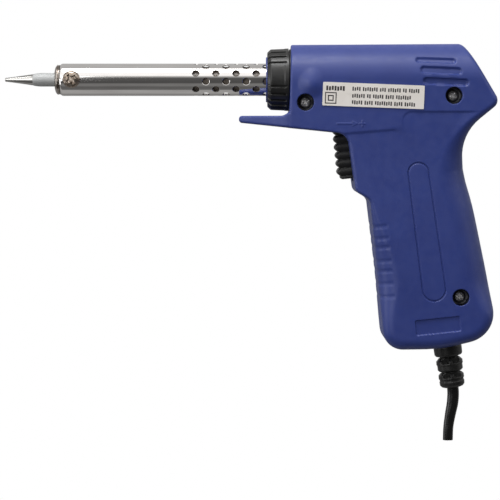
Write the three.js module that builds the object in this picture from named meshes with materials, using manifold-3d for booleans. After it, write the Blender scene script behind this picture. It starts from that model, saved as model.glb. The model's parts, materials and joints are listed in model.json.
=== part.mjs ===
// Pistol-grip soldering iron with a boost trigger, as an assembly of separate solids.
//
// Millimetres, +Z up. The tip and barrel point along -X, the grip hangs down towards -Z, and +Y is the
// user's right-hand side. The drawing below is measured from the barrel's axis at the casing's front face;
// the last lines move the whole iron so that the centre of the tip's end is the origin.

import * as THREE from "three";
import { mergeVertices } from "three/addons/utils/BufferGeometryUtils.js";
import Module from "manifold-3d";

const wasm = await Module();
wasm.setup();

// ---------------------------------------------------------------- driving dimensions

const WALL = 2.2; // casing shell
const HALF_WIDTH = 16.5; // casing, parting plane to flat side
const PARTING_GAP = 0.1; // each casing half stops this far from the parting plane
const CLEAR = 0.3; // gap between parts that are fitted together

const TUBE = { front: -105.5, rear: 4.0, radius: 7.4, wall: 0.6 };
const VENT = { radius: 1.65, pitch: 4.6, first: -43.3, rings: 8, around: 6, turn: 22.5 };
const TIP = { point: -131.1, rear: -62, radius: 3.1, pointRadius: 0.85, coneEnd: -118.3 };
const CAP = { front: -108.6, rear: -93.2, bore: 3.35 };
const TIP_SCREW = { x: -99.95, headRadius: 4.0, headHeight: 2.7, shankRadius: 1.9 };

const NECK = { front: -11.2, radius: 10.3, bore: 7.7 };
const NUT = { front: -10.6, rear: -0.9, bore: 10.75, radius: 14.2 };
const NUT_GROOVES = { groups: 4, perGroup: 4, first: 54, spacing: 14.7 }; // angles in degrees
const SHOULDER = { front: -0.65, radius: 13.9 }; // the casing's ring behind the nut

const CASING_SCREWS = {
  front: { x: 6.5, z: -10.55 },
  rear: { x: 73.5, z: -7.5 },
  lower: { x: 77.3, z: -99 },
};
const SCREW = { well: 3.85, wellFloor: 9, head: 2.6, shank: 1.35, hole: 1.65, length: 20 };

const TRIGGER = {
  x: 20.9,
  z: -35.0,
  tiltDeg: 6,
  halfWidth: 7.2,
  top: 13.5,
  bottom: -10.8,
  depth: 14.5,
  lobes: 6,
  lobePitch: 3.75,
  firstLobe: 11.2,
};
const SLOT = { front: 18.8, rear: 33, top: -19.5, bottom: -46.5, halfWidth: 7.7 };
const SWITCH = { front: 24.8, length: 20, halfWidth: 5.5, halfHeight: 8, wall: 1.2 };
const SPRING = { radius: 3.1, wire: 0.35, turns: 6 };

const BOOT = { x: 73.1, z: -123.15, tiltDeg: 7.7, bore: 2.65, pivot: 17 };
const CORD = { radius: 2.4, coreRadius: 1.0, endZ: -167 };

// The casing seen from its side: corners [x, z, fillet radius], clockwise from the front top.
const OUTLINE = [
  [0.1, 15.9, 0],
  [79.1, 16.4, 4.5],
  [94.6, -10.5, 4], // nose over the web of the hand
  [78.4, -24.0, 20],
  [78.6, -40.8, 45],
  [83.4, -57.6, 100],
  [90.5, -90.2, 250],
  [94.9, -117.1, 14],
  [69, -123.7, 60],
  [43.3, -123.8, 10],
  [35.6, -54.7, 2.5],
  [29.4, -50.8, 3],
  [25.9, -24.75, 6], // top of the trigger opening
  [-0.85, -22.0, 0],
];
// The barrel-shaped upper part of the casing, closed off where the grip takes over.
const UPPER = [
  [0.1, 15.9, 0],
  [79.1, 16.4, 4.5],
  [94.6, -10.5, 4],
  [78.9, -23.6, 3],
  [26.2, -24.75, 0],
  [-0.85, -22.0, 0],
];
// The finger guard under the barrel nut, with its root inside the casing.
const GUARD = [
  [-23.6, -16.6, 1.4],
  [-3.6, -16.6, 3.5],
  [-0.7, -14.9, 1],
  [-0.6, -12, 0],
  [6, -12, 0],
  [6, -22.68, 0],
  [-23.6, -19.65, 1.4],
];
const GUARD_PLAN = [
  [-25, -7.5, 0],
  [-25, 7.5, 0],
  [8, 13, 0],
  [8, -13, 0],
];

// ---------------------------------------------------------------- materials

const finish = (color, roughness, metalness) => new THREE.MeshStandardMaterial({ color, roughness, metalness });
const MATERIALS = {
  casing: finish("#3b4688", 0.5, 0),
  blackPlastic: finish("#1b1b1d", 0.55, 0),
  chrome: finish("#c9c6c4", 0.15, 1),
  steel: finish("#a8a49e", 0.35, 1),
  platedTip: finish("#b9bbb9", 0.4, 1),
  ceramic: finish("#e6dfd0", 0.7, 0),
  nichrome: finish("#8b8178", 0.45, 1),
  mica: finish("#6b5d4c", 0.3, 0),
  brass: finish("#c2a04c", 0.3, 1),
  rubber: finish("#161617", 0.7, 0),
  brownWire: finish("#6b3a20", 0.5, 0),
  blueWire: finish("#2456a8", 0.5, 0),
  sleeve: finish("#ddd8c4", 0.8, 0),
  label: finish("#dedad3", 0.45, 0),
};

// ---------------------------------------------------------------- solids and outlines

const radians = THREE.MathUtils.degToRad;

// A closed geometry as a manifold solid, with its faces turned outwards.
function solid(geometry) {
  const bare = geometry.index ? geometry.toNonIndexed() : geometry.clone();
  bare.deleteAttribute("normal");
  bare.deleteAttribute("uv");
  const merged = mergeVertices(bare, 1e-4);
  const triangles = new Uint32Array(merged.index.array);
  const build = () =>
    new wasm.Manifold(
      new wasm.Mesh({ numProp: 3, vertProperties: merged.attributes.position.array, triVerts: triangles }),
    );
  const made = build();
  if (made.volume() >= 0) return made;
  for (let i = 0; i < triangles.length; i += 3) {
    [triangles[i + 1], triangles[i + 2]] = [triangles[i + 2], triangles[i + 1]];
  }
  return build();
}

function geometryOf(made) {
  const mesh = made.getMesh();
  const geometry = new THREE.BufferGeometry();
  geometry.setAttribute("position", new THREE.BufferAttribute(new Float32Array(mesh.vertProperties), 3));
  geometry.setIndex(new THREE.BufferAttribute(new Uint32Array(mesh.triVerts), 1));
  geometry.computeVertexNormals();
  return geometry;
}

const moved = (made, x, y, z) => solid(geometryOf(made).translate(x, y, z));
const union = (solids) => solids.reduce((a, b) => a.add(b));
const cut = (body, solids) => solids.reduce((a, b) => a.subtract(b), body);

// A polygon whose corners [u, v, radius] are rounded by arcs of about stepDeg a segment.
function rounded(corners, stepDeg = 15) {
  const points = [];
  corners.forEach(([u, v, radius], i) => {
    const corner = new THREE.Vector2(u, v);
    const before = corners[(i + corners.length - 1) % corners.length];
    const after = corners[(i + 1) % corners.length];
    const toBefore = new THREE.Vector2(before[0] - u, before[1] - v).normalize();
    const toAfter = new THREE.Vector2(after[0] - u, after[1] - v).normalize();
    const turn = Math.PI - Math.acos(THREE.MathUtils.clamp(toBefore.dot(toAfter), -1, 1));
    if (!radius || turn < 0.01) {
      points.push(corner);
      return;
    }
    const reach = radius * Math.tan(turn / 2);
    const start = corner.clone().addScaledVector(toBefore, reach);
    const end = corner.clone().addScaledVector(toAfter, reach);
    const bisector = toBefore.clone().add(toAfter).normalize();
    const centre = corner.clone().addScaledVector(bisector, radius / Math.cos(turn / 2));
    const from = start.clone().sub(centre);
    const sweep = Math.sign(from.cross(end.clone().sub(centre))) * turn;
    const steps = Math.max(2, Math.ceil(THREE.MathUtils.radToDeg(turn) / stepDeg));
    for (let k = 0; k <= steps; k++) {
      points.push(from.clone().rotateAround(new THREE.Vector2(), (sweep * k) / steps).add(centre));
    }
  });
  return points;
}

// The same corners moved inwards by a distance. The corners run clockwise.
function inset(corners, distance) {
  const lines = corners.map(([u, v], i) => {
    const [nu, nv] = corners[(i + 1) % corners.length];
    const along = new THREE.Vector2(nu - u, nv - v).normalize();
    const inwards = new THREE.Vector2(along.y, -along.x);
    return { at: new THREE.Vector2(u, v).addScaledVector(inwards, distance), along };
  });
  return corners.map(([, , radius], i) => {
    const a = lines[(i + lines.length - 1) % lines.length];
    const b = lines[i];
    const gap = b.at.clone().sub(a.at);
    const t = gap.cross(b.along) / a.along.cross(b.along);
    const convex = a.along.cross(b.along) < 0;
    const at = a.at.clone().addScaledVector(a.along, t);
    return [at.x, at.y, radius ? Math.max(0.3, convex ? radius - distance : radius + distance) : 0];
  });
}

// A side outline in x and z, extruded from -halfWidth to halfWidth in y, with rounded edges of size bevel.
function sidePlate(points, halfWidth, bevel = 0, bevelSegments = 2) {
  const geometry = new THREE.ExtrudeGeometry(new THREE.Shape(points), {
    depth: 2 * (halfWidth - bevel),
    bevelEnabled: bevel > 0,
    bevelThickness: bevel,
    bevelSize: bevel,
    bevelOffset: -bevel,
    bevelSegments,
    curveSegments: 1,
  });
  geometry.translate(0, 0, bevel - halfWidth);
  return solid(geometry.rotateX(Math.PI / 2));
}

// A plan outline in x and y, extruded from bottom to top.
function planPlate(points, bottom, top) {
  const shape = new THREE.Shape(points);
  const geometry = new THREE.ExtrudeGeometry(shape, { depth: top - bottom, bevelEnabled: false });
  return solid(geometry.translate(0, 0, bottom));
}

// A solid of revolution about X. The profile is [x, r] points and closes on itself.
function turned(profile, segments = 32) {
  const closed = [...profile, profile[0]].map(([x, r]) => new THREE.Vector2(r, x));
  return solid(new THREE.LatheGeometry(closed, segments).rotateZ(-Math.PI / 2));
}

const rod = (x0, x1, radius, segments = 32) =>
  turned([[x0, 0], [x0, radius], [x1, radius], [x1, 0]], segments);
const pipe = (x0, x1, inner, outer, segments = 32) =>
  turned([[x0, inner], [x0, outer], [x1, outer], [x1, inner]], segments);

// A solid of revolution about Y, through x and z, from [y, r] points.
function pin(profile, x, z, segments = 20) {
  const closed = [...profile, profile[0]].map(([y, r]) => new THREE.Vector2(r, y));
  return solid(new THREE.LatheGeometry(closed, segments).translate(x, 0, z));
}

const crossRod = (y0, y1, radius, x, z, segments = 20) =>
  pin([[y0, 0], [y0, radius], [y1, radius], [y1, 0]], x, z, segments);

// A solid of revolution about Z, from [z, r] points.
function spindle(profile, segments = 24) {
  const closed = [...profile, profile[0]].map(([z, r]) => new THREE.Vector2(r, z));
  return solid(new THREE.LatheGeometry(closed, segments).rotateX(Math.PI / 2));
}

function block(x0, x1, y0, y1, z0, z1) {
  const geometry = new THREE.BoxGeometry(x1 - x0, y1 - y0, z1 - z0);
  return solid(geometry.translate((x0 + x1) / 2, (y0 + y1) / 2, (z0 + z1) / 2));
}

// A round wire through the points.
function wire(points, radius, segments = 16, sides = 8) {
  const circle = new THREE.Shape(
    Array.from({ length: sides }, (_, k) => {
      const angle = (2 * Math.PI * k) / sides;
      return new THREE.Vector2(radius * Math.cos(angle), radius * Math.sin(angle));
    }),
  );
  const path = new THREE.CatmullRomCurve3(points.map((p) => new THREE.Vector3(...p)), false, "centripetal");
  return solid(new THREE.ExtrudeGeometry(circle, { steps: segments, extrudePath: path, bevelEnabled: false }));
}

// ---------------------------------------------------------------- casing

// Where the grip's outline crosses a height: the front and rear x.
function gripEdges(height) {
  const z = Math.min(height, -24.9);
  const points = rounded(OUTLINE, 4);
  const crossings = [];
  points.forEach((p, i) => {
    const q = points[(i + 1) % points.length];
    if (p.y > z !== q.y > z) crossings.push(p.x + ((z - p.y) / (q.y - p.y)) * (q.x - p.x));
  });
  return [Math.max(26.1, Math.min(...crossings)), Math.max(...crossings)];
}

const GRIP = { top: -22.5, bottom: -123.75, endRound: 9, frontRound: 12, rearRound: 13 };

// Half width of the grip: a slim throat behind the trigger, a fuller palm, and a rounded lower end.
function gripHalfWidth(z, insetBy) {
  const palm = THREE.MathUtils.smoothstep(-z, 30, 75) - 0.6 * THREE.MathUtils.smoothstep(-z, 85, 118);
  const width = 15.6 + 1.2 * palm - insetBy;
  const height = z - GRIP.bottom - insetBy;
  const round = GRIP.endRound - insetBy / 2;
  if (height >= round) return width;
  return width - round + Math.sqrt(Math.max(0, round ** 2 - (round - height) ** 2));
}

// One closed ring of the grip at a height: a rectangle with a front and a rear corner radius.
function gripRing(z, insetBy, perCorner) {
  const [front, rear] = gripEdges(z);
  const x0 = front + insetBy;
  const x1 = rear - insetBy;
  const w = gripHalfWidth(z, insetBy);
  const limit = Math.min((x1 - x0) / 2, w) - 0.05;
  const throat = THREE.MathUtils.smoothstep(-z, 48, 62);
  const frontRound = Math.min(limit, THREE.MathUtils.lerp(3, GRIP.frontRound, throat));
  const rearRound = Math.min(limit, GRIP.rearRound);
  const corners = [
    [x1, w, rearRound, 0],
    [x0, w, frontRound, 1],
    [x0, -w, frontRound, 2],
    [x1, -w, rearRound, 3],
  ];
  return corners.flatMap(([x, y, radius, quarter]) => {
    const cx = x - Math.sign(x - (x0 + x1) / 2) * radius;
    const cy = y - Math.sign(y) * radius;
    return Array.from({ length: perCorner }, (_, k) => {
      const angle = (quarter + k / (perCorner - 1)) * (Math.PI / 2);
      return [cx + radius * Math.cos(angle), cy + radius * Math.sin(angle), z];
    });
  });
}

// Skins a stack of rings with equal point counts, and closes both ends.
function loft(rings) {
  const count = rings[0].length;
  const positions = rings.flat(2);
  const centre = (ring) => ring.reduce((s, p) => s.map((v, k) => v + p[k] / count), [0, 0, 0]);
  positions.push(...centre(rings[0]), ...centre(rings.at(-1)));
  const firstCentre = rings.length * count;
  const index = [];
  for (let k = 0; k < count; k++) {
    const next = (k + 1) % count;
    for (let r = 0; r < rings.length - 1; r++) {
      const a = r * count;
      const b = a + count;
      index.push(a + k, a + next, b + k, a + next, b + next, b + k);
    }
    const last = (rings.length - 1) * count;
    index.push(firstCentre, next, k, firstCentre + 1, last + k, last + next);
  }
  const geometry = new THREE.BufferGeometry();
  geometry.setAttribute("position", new THREE.BufferAttribute(new Float32Array(positions), 3));
  geometry.setIndex(index);
  return solid(geometry);
}

// The grip as a loft, closer rings towards its rounded lower end. The inset one reaches up into the casing.
function gripBody(insetBy, perCorner, levels) {
  const top = GRIP.top + 3 * insetBy;
  const bottom = GRIP.bottom + insetBy + 0.05;
  const rings = Array.from({ length: levels }, (_, k) => {
    const share = Math.sin(((k / (levels - 1)) * Math.PI) / 2);
    return gripRing(top + (bottom - top) * share, insetBy, perCorner);
  });
  return loft(rings);
}

// The rounded-top envelope of the upper casing: a half circle over straight sides, along X.
function upperEnvelope(halfWidth, segments) {
  const shape = new THREE.Shape();
  const sideBottom = -32;
  shape.moveTo(-halfWidth, sideBottom);
  shape.lineTo(halfWidth, sideBottom);
  shape.absarc(0, -0.3, halfWidth, 0, Math.PI, false);
  const options = { depth: 100, bevelEnabled: false, curveSegments: segments };
  const geometry = new THREE.ExtrudeGeometry(shape, options);
  const axes = new THREE.Matrix4().makeBasis(
    new THREE.Vector3(0, 1, 0),
    new THREE.Vector3(0, 0, 1),
    new THREE.Vector3(1, 0, 0),
  );
  return solid(geometry.applyMatrix4(axes).translate(-1, 0, 0));
}

function upperBody(insetBy, segments) {
  const corners = insetBy ? inset(UPPER, insetBy) : UPPER;
  const bevel = insetBy ? 0 : 1.2;
  const envelope = upperEnvelope(HALF_WIDTH - insetBy, segments);
  return sidePlate(rounded(corners), HALF_WIDTH - insetBy, bevel).intersect(envelope);
}

// A rounded swelling on each side, round the barrel's socket.
function socketSwelling(side) {
  const ball = new THREE.SphereGeometry(7.5, 16, 11).scale(1.05, 1, 1);
  return solid(ball.translate(9.4, side * 10.6, -1.8));
}

function casingOuter() {
  const guard = sidePlate(rounded(GUARD), 13.5, 1.0).intersect(planPlate(rounded(GUARD_PLAN), -30, 0));
  return union([
    upperBody(0, 20),
    gripBody(0, 6, 19),
    guard,
    socketSwelling(-1),
    socketSwelling(1),
    rod(NECK.front, 1, NECK.radius, 32),
    rod(SHOULDER.front, 1, SHOULDER.radius, 36),
  ]);
}

// Screw towers: wide round the head's well on the left half, slim where they meet the right half.
function screwTowers(side) {
  return Object.values(CASING_SCREWS).flatMap(({ x, z }) => {
    const slim = crossRod(side < 0 ? -HALF_WIDTH + 1 : 0, side < 0 ? 0 : HALF_WIDTH - 1, 2.75, x, z, 16);
    if (side > 0) return [slim];
    return [slim, crossRod(-HALF_WIDTH + 0.5, -SCREW.wellFloor + 2, SCREW.well + 1.5, x, z)];
  });
}

// Ribs that hold the barrel's flange and the switch.
function innerRibs() {
  const flangeRib = pipe(4.5, 6.0, 8.2, 15.2, 24);
  const [left, right] = [-SWITCH.halfWidth - CLEAR, SWITCH.halfWidth + 0.6 + CLEAR];
  return [flangeRib, block(50, 51.5, -15.5, left, -44, -16), block(50, 51.5, right, 15.5, -44, -16)];
}

function casingHalf(side) {
  const outer = casingOuter();
  const cavity = union([upperBody(WALL, 12), gripBody(WALL, 4, 10)]);
  const shell = outer.subtract(cavity);
  const fittings = union([...screwTowers(side), ...innerRibs()]).intersect(outer);
  const nearSide = (y0, y1) => (side < 0 ? [-y1, -y0] : [y0, y1]);
  const [keep0, keep1] = nearSide(PARTING_GAP, 30);
  const posts = side > 0 ? [clampCradle()] : [];
  const body = union([shell, fittings, ...posts]).intersect(block(-60, 120, keep0, keep1, -160, 60));
  const tools = [
    rod(NECK.front - 1, 4.45, NECK.bore, 32),
    rod(2.4, 4.5, 10.1, 28),
    block(SLOT.front, SLOT.rear, -SLOT.halfWidth, SLOT.halfWidth, SLOT.bottom, SLOT.top),
    bootSeat(),
  ];
  Object.values(CASING_SCREWS).forEach(({ x, z }) => {
    if (side < 0) {
      tools.push(crossRod(-HALF_WIDTH - 3, -SCREW.wellFloor, SCREW.well, x, z));
      tools.push(crossRod(-HALF_WIDTH, 1, SCREW.hole, x, z, 14));
    } else {
      tools.push(crossRod(-1, 11, SCREW.hole, x, z, 14));
    }
  });
  if (side > 0) tools.push(...clampScrewHoles());
  return cut(body, tools);
}

// A pan-head screw along +Y, with a cross recess in its head. The head's underside is at y = seat.
function panHeadScrew({ x, z, seat, head, height, shank, length, sides = 20 }) {
  const top = seat - height;
  const profile = [
    [top, 0],
    [top, head * 0.55],
    [top + height * 0.18, head * 0.85],
    [top + height * 0.5, head],
    [seat, head],
    [seat, shank],
    [seat + length, shank],
    [seat + length, 0],
  ];
  const arm = head * 0.6;
  const half = head * 0.13;
  const floor = top + height * 0.6;
  const recess = [
    block(x - arm, x + arm, top - 1, floor, z - half, z + half),
    block(x - half, x + half, top - 1, floor, z - arm, z + arm),
  ];
  return cut(pin(profile, x, z, sides), recess);
}

function casingScrew({ x, z }) {
  return panHeadScrew({
    x,
    z,
    seat: -SCREW.wellFloor - CLEAR / 2,
    head: SCREW.head,
    height: 1.9,
    shank: SCREW.shank,
    length: SCREW.length - 1.5,
    sides: 16,
  });
}

// ---------------------------------------------------------------- barrel, tip and heater

function barrelTube() {
  const { front, rear, radius, wall } = TUBE;
  const inner = radius - wall;
  const shell = turned(
    [
      [front, 6.68],
      [front, 6.85],
      [front + 0.35, 7.15],
      [front + 1.1, radius],
      [rear, radius],
      [rear, inner],
      [front + 1.2, inner],
    ],
    24,
  );
  const holes = [];
  for (let ring = 0; ring < VENT.rings; ring++) {
    const turn = VENT.turn + (ring % 2) * (180 / VENT.around);
    for (let k = 0; k < VENT.around; k++) {
      const drill = new THREE.CylinderGeometry(VENT.radius, VENT.radius, 3, 7);
      drill.translate(0, radius, 0);
      drill.rotateX(radians(turn + (k * 360) / VENT.around));
      holes.push(solid(drill.translate(VENT.first + ring * VENT.pitch, 0, 0)));
    }
  }
  holes.push(crossRod(-10, -5, TIP_SCREW.shankRadius + CLEAR, TIP_SCREW.x, 0, 14));
  return cut(shell, holes);
}

// A ring swaged on the tube's rear end, trapped between the casing's front wall and a rib.
const barrelFlange = () => pipe(2.7, TUBE.rear - 0.1, TUBE.radius + 0.1, 9.8, 28);

// The turned end bush that carries the tip, with two lips in front of the tube.
function frontCap() {
  const body = turned(
    [
      [CAP.front, CAP.bore],
      [CAP.front, 5.4],
      [CAP.front + 0.35, 6.6],
      [CAP.front + 0.85, 7.1],
      [CAP.front + 1.35, 6.3],
      [CAP.front + 1.95, 7.15],
      [CAP.front + 2.5, 6.2],
      [TUBE.front + 0.2, 6.1],
      [TUBE.front + 0.6, 6.45],
      [CAP.rear, 6.45],
      [CAP.rear, CAP.bore],
    ],
    28,
  );
  return body.subtract(crossRod(-8, -1, TIP_SCREW.shankRadius + 0.1, TIP_SCREW.x, 0, 14));
}

function tipScrew() {
  return panHeadScrew({
    x: TIP_SCREW.x,
    z: 0,
    seat: -TUBE.radius - 0.1,
    head: TIP_SCREW.headRadius,
    height: TIP_SCREW.headHeight,
    shank: TIP_SCREW.shankRadius,
    length: TUBE.radius - TIP.radius - 0.2,
    sides: 20,
  });
}

function solderingTip() {
  const { point, rear, radius, pointRadius, coneEnd } = TIP;
  return turned(
    [
      [point, 0],
      [point, pointRadius * 0.7],
      [point + 0.4, pointRadius],
      [coneEnd, 2.55],
      [coneEnd + 1.6, 2.9],
      [coneEnd + 4, radius],
      [rear, radius],
      [rear, 0],
    ],
    24,
  );
}

const heaterBobbin = () => pipe(-92.7, -26, 3.35, 4.3, 20);

// A close-wound heating element, drawn as a sleeve with rounded turns.
function winding(x0, x1, turns) {
  const profile = [[x0, 4.5]];
  for (let k = 0; k < turns; k++) {
    const pitch = (x1 - x0) / turns;
    profile.push([x0 + k * pitch, 4.8], [x0 + (k + 0.5) * pitch, 5.15]);
  }
  profile.push([x1, 4.8], [x1, 4.5]);
  return turned(profile, 14);
}

const micaSleeve = () => pipe(-92.5, -6.6, 5.4, 5.9, 20);

// A ceramic plug in the rear of the tube with one passage for each lead.
const LEADS = { common: [0, 2.9], main: [2.5, -1.6], boost: [-2.5, -1.6] };
function leadBushing() {
  const plug = turned(
    [[-6, 0], [-6, 6.4], [TUBE.rear + 2, 6.4], [TUBE.rear + 3, 5.6], [TUBE.rear + 3, 0]],
    24,
  );
  const passages = Object.values(LEADS).map(([y, z]) => moved(rod(-8, 12, 1.3, 10), 0, y, z));
  return cut(plug, passages);
}

const POLES = { common: 3, main: -5, boost: -13 };
const TERMINAL = { x0: 34, x1: 44, halfWidth: 4.5, bottom: -17.5, top: 7.5 };

function heaterLead(name) {
  const [y, z] = LEADS[name];
  const pole = POLES[name];
  const inTube = [[-24, y, z], [-14, y, z], [-6, y, z], [2, y, z], [8, y, z]];
  return wire([...inTube, [18, y, z * 0.4 + pole * 0.6], [27, 0, pole], [36, 0, pole]], 0.8, 18, 6);
}

// ---------------------------------------------------------------- wiring in the handle

function terminalBlock() {
  const { x0, x1, halfWidth, bottom, top } = TERMINAL;
  const body = block(x0, x1, -halfWidth, halfWidth, bottom, top);
  const middle = (x0 + x1) / 2;
  const tools = Object.values(POLES).flatMap((z) => [
    moved(rod(x0 - 1, x1 + 1, 1.5, 10), 0, 0, z),
    crossRod(-halfWidth - 1, -1, 1.9, middle, z, 14),
  ]);
  const notchFloor = -halfWidth + 1.5;
  const notches = [-1, -9].map((z) => block(x0 - 1, x1 + 1, -halfWidth - 1, notchFloor, z - 0.8, z + 0.8));
  return cut(body, [...tools, ...notches]);
}

function terminalScrew(z) {
  const middle = (TERMINAL.x0 + TERMINAL.x1) / 2;
  const body = crossRod(-TERMINAL.halfWidth + 0.5, -1.75, 1.5, middle, z, 14);
  return body.subtract(block(middle - 2, middle + 2, -5, -3.4, z - 0.25, z + 0.25));
}

function mainsCore(side, pole) {
  const y = side * 9;
  return wire(
    [
      [69.0, side * 1.25, -98.0],
      [67.5, side * 4, -88],
      [66, y, -75],
      [62, side * 9.6, -50],
      [58, side * 9.6, -28],
      [54, side * 7, -12],
      [49, side * 1.5, pole],
      [42, 0, pole],
    ],
    CORD.coreRadius,
    16,
    6,
  );
}

// ---------------------------------------------------------------- trigger and switch
// These are drawn in the switch's own frame: +x is the way the trigger is pressed, +z runs up its face.

function triggerBody() {
  const { halfWidth, top, bottom, depth, lobes, lobePitch, firstLobe } = TRIGGER;
  const face = [];
  for (let k = 0; k < lobes; k++) {
    for (const share of [-0.5, -0.3, 0, 0.3]) {
      const swell = Math.sqrt(1 - (2 * share) ** 2);
      face.push(new THREE.Vector2(0.9 - 1.1 * swell, firstLobe - (k + share) * lobePitch));
    }
  }
  const shape = [
    new THREE.Vector2(depth, top),
    new THREE.Vector2(1.2, top),
    ...face,
    new THREE.Vector2(1.0, bottom + 0.9),
    new THREE.Vector2(2.2, bottom),
    new THREE.Vector2(depth, bottom),
  ];
  const body = sidePlate(shape, halfWidth, 0.6, 1);
  const retainer = block(10.8, depth, -9.4, 9.4, bottom + 1, top - 3);
  const socket = rod(9, depth + 1, 1.95, 14);
  const hollow = block(4.5, depth + 1, -halfWidth + 1.8, halfWidth - 1.8, bottom + 2, -4);
  const upperHollow = block(4.5, depth + 1, -halfWidth + 1.8, halfWidth - 1.8, 4, top - 2);
  return cut(body.add(retainer), [socket, hollow, upperHollow]);
}

const switchPlunger = () => rod(9.4, 32.6, 1.55, 14);

function triggerSpring() {
  const start = TRIGGER.depth + 0.6;
  const end = SWITCH.front - 0.6;
  const perTurn = 8;
  const count = SPRING.turns * perTurn;
  const points = Array.from({ length: count + 1 }, (_, k) => {
    const angle = (2 * Math.PI * k) / perTurn;
    const along = start + ((end - start) * k) / count;
    return [along, SPRING.radius * Math.cos(angle), SPRING.radius * Math.sin(angle)];
  });
  return wire(points, SPRING.wire, count, 4);
}

function switchHousing() {
  const { front, length, halfWidth, halfHeight, wall } = SWITCH;
  const rear = front + length;
  const body = block(front, rear, -halfWidth, halfWidth - wall, -halfHeight, halfHeight);
  const roomHeight = halfHeight - wall;
  const room = block(front + wall, rear - wall, -halfWidth + wall, halfWidth + 1, -roomHeight, roomHeight);
  const entries = [-1, 1].map((side) =>
    block(rear - wall - 1, rear + 1, -1.8, 1.8, side * 4.5 - 0.7, side * 4.5 + 0.7),
  );
  return cut(body, [room, rod(front - 1, front + wall + 1, 1.85, 14), ...entries]);
}

function switchCover() {
  const { front, length, halfWidth, halfHeight, wall } = SWITCH;
  return block(front, front + length, halfWidth - wall + 0.05, halfWidth + 0.6, -halfHeight, halfHeight);
}

const movingContact = () => block(32.9, 33.6, -1.5, 1.5, -6, 6);

// A fixed blade: a pad inside the switch, a leg back through its rear wall and a solder tab outside.
function switchTerminal(side) {
  const z = side * 4.5;
  const pad = block(37.9, 38.6, -1.5, 1.5, Math.min(z, side * 6), Math.max(z, side * 6) + 0.4);
  const leg = block(37.9, SWITCH.front + SWITCH.length + 5, -1.5, 1.5, z - 0.4, z + 0.4);
  return pad.add(leg);
}

// ---------------------------------------------------------------- cord, boot and clamp
// The boot and clamp are drawn in the boot's own frame: -z runs out of the handle along the cord.

function bootFrame() {
  const group = new THREE.Group();
  group.position.set(BOOT.x, 0, BOOT.z);
  group.rotation.y = -radians(BOOT.tiltDeg);
  group.updateMatrix();
  return group;
}

// Moves a solid from the boot's frame to the part's frame.
const fromBoot = (made) => solid(geometryOf(made).applyMatrix4(bootFrame().matrix));

const bootPoint = (along, y = 0) => {
  const p = new THREE.Vector3(0, y, -along).applyMatrix4(bootFrame().matrix);
  return p.toArray();
};

const bootSeat = () => fromBoot(spindle([[10, 0], [10, 5.15], [-3, 5.15], [-3, 0]], 20));

function strainRelief() {
  const body = spindle(
    [
      [5.4, BOOT.bore],
      [5.4, 7.2],
      [3.3, 7.2],
      [3.3, 4.8],
      [-0.6, 4.8],
      [-0.6, 6.5],
      [-4.4, 6.4],
      [-5.0, 5.9],
      [-5.0, 4.0],
      [-5.9, 4.0],
      [-6.6, 5.9],
      [-11.0, 5.8],
      [-11.5, 5.3],
      [-11.5, 4.0],
      [-12.3, 4.0],
      [-12.8, 5.5],
      [-17.6, 5.4],
      [-18.3, 4.8],
      [-18.3, 3.7],
      [-14, BOOT.bore],
    ],
    20,
  );
  // Pockets on both sides leave a web between them, so that the boot can bend.
  const pockets = [];
  for (const z of [-8.0, -14.3]) {
    for (const side of [-5.4, 5.4]) {
      for (const x of [-2.6, 2.6]) {
        pockets.push(block(x - 1.5, x + 1.5, side - 1.4, side + 1.4, z - 1, z + 1));
      }
    }
  }
  return cut(body, pockets);
}

function cordInner() {
  return wire([bootPoint(-24), bootPoint(-12), bootPoint(0), bootPoint(14.2)], CORD.radius, 3, 12);
}

// The free cord below the boot, with a ball at its root so that it can swing in the boot's mouth.
function cordTail() {
  const root = bootPoint(BOOT.pivot);
  const hanging = [[75.5, 0, -149.2], [74.3, 0, -155.2], [73.8, 0, -161], [73.8, 0, CORD.endZ - 2]];
  const points = [root, bootPoint(BOOT.pivot + 4), ...hanging];
  const ball = solid(new THREE.SphereGeometry(CORD.radius, 12, 8).translate(...root));
  const flat = block(60, 85, -5, 5, CORD.endZ, -120);
  return wire(points, CORD.radius, 12, 12).add(ball).intersect(flat);
}

const CLAMP = { along: 10, halfLength: 3, halfSpan: 8.5, screwSpan: 5.6 };

const clampGroove = () => {
  const [low, high] = [CLAMP.along - 5, CLAMP.along + 5];
  const radius = CORD.radius + 0.25;
  return spindle([[low, 0], [low, radius], [high, radius], [high, 0]], 16);
};

// The clamp's rest on the right half: a rib across the grip with a groove for the cord.
function clampCradle() {
  const { along, halfLength, halfSpan } = CLAMP;
  const rib = block(-halfSpan, halfSpan, 0, HALF_WIDTH - 1.5, along - halfLength, along + halfLength);
  return fromBoot(rib.subtract(clampGroove()));
}

function clampScrewHoles() {
  return [-1, 1].map((side) => fromBoot(crossRod(-1, 9, 1.3, side * CLAMP.screwSpan, CLAMP.along, 12)));
}

function cordClamp() {
  const { along, halfLength, halfSpan, screwSpan } = CLAMP;
  const bar = block(-halfSpan, halfSpan, -4.6, -0.2, along - halfLength, along + halfLength);
  const holes = [-1, 1].map((side) => crossRod(-6, 1, 1.4, side * screwSpan, along, 12));
  return cut(bar, [clampGroove(), ...holes]);
}

function cordClampScrew(side) {
  return panHeadScrew({
    x: side * CLAMP.screwSpan,
    z: CLAMP.along,
    seat: -4.75,
    head: 2.3,
    height: 1.6,
    shank: 1.05,
    length: 11,
    sides: 14,
  });
}

// ---------------------------------------------------------------- collar nut and label

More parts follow.
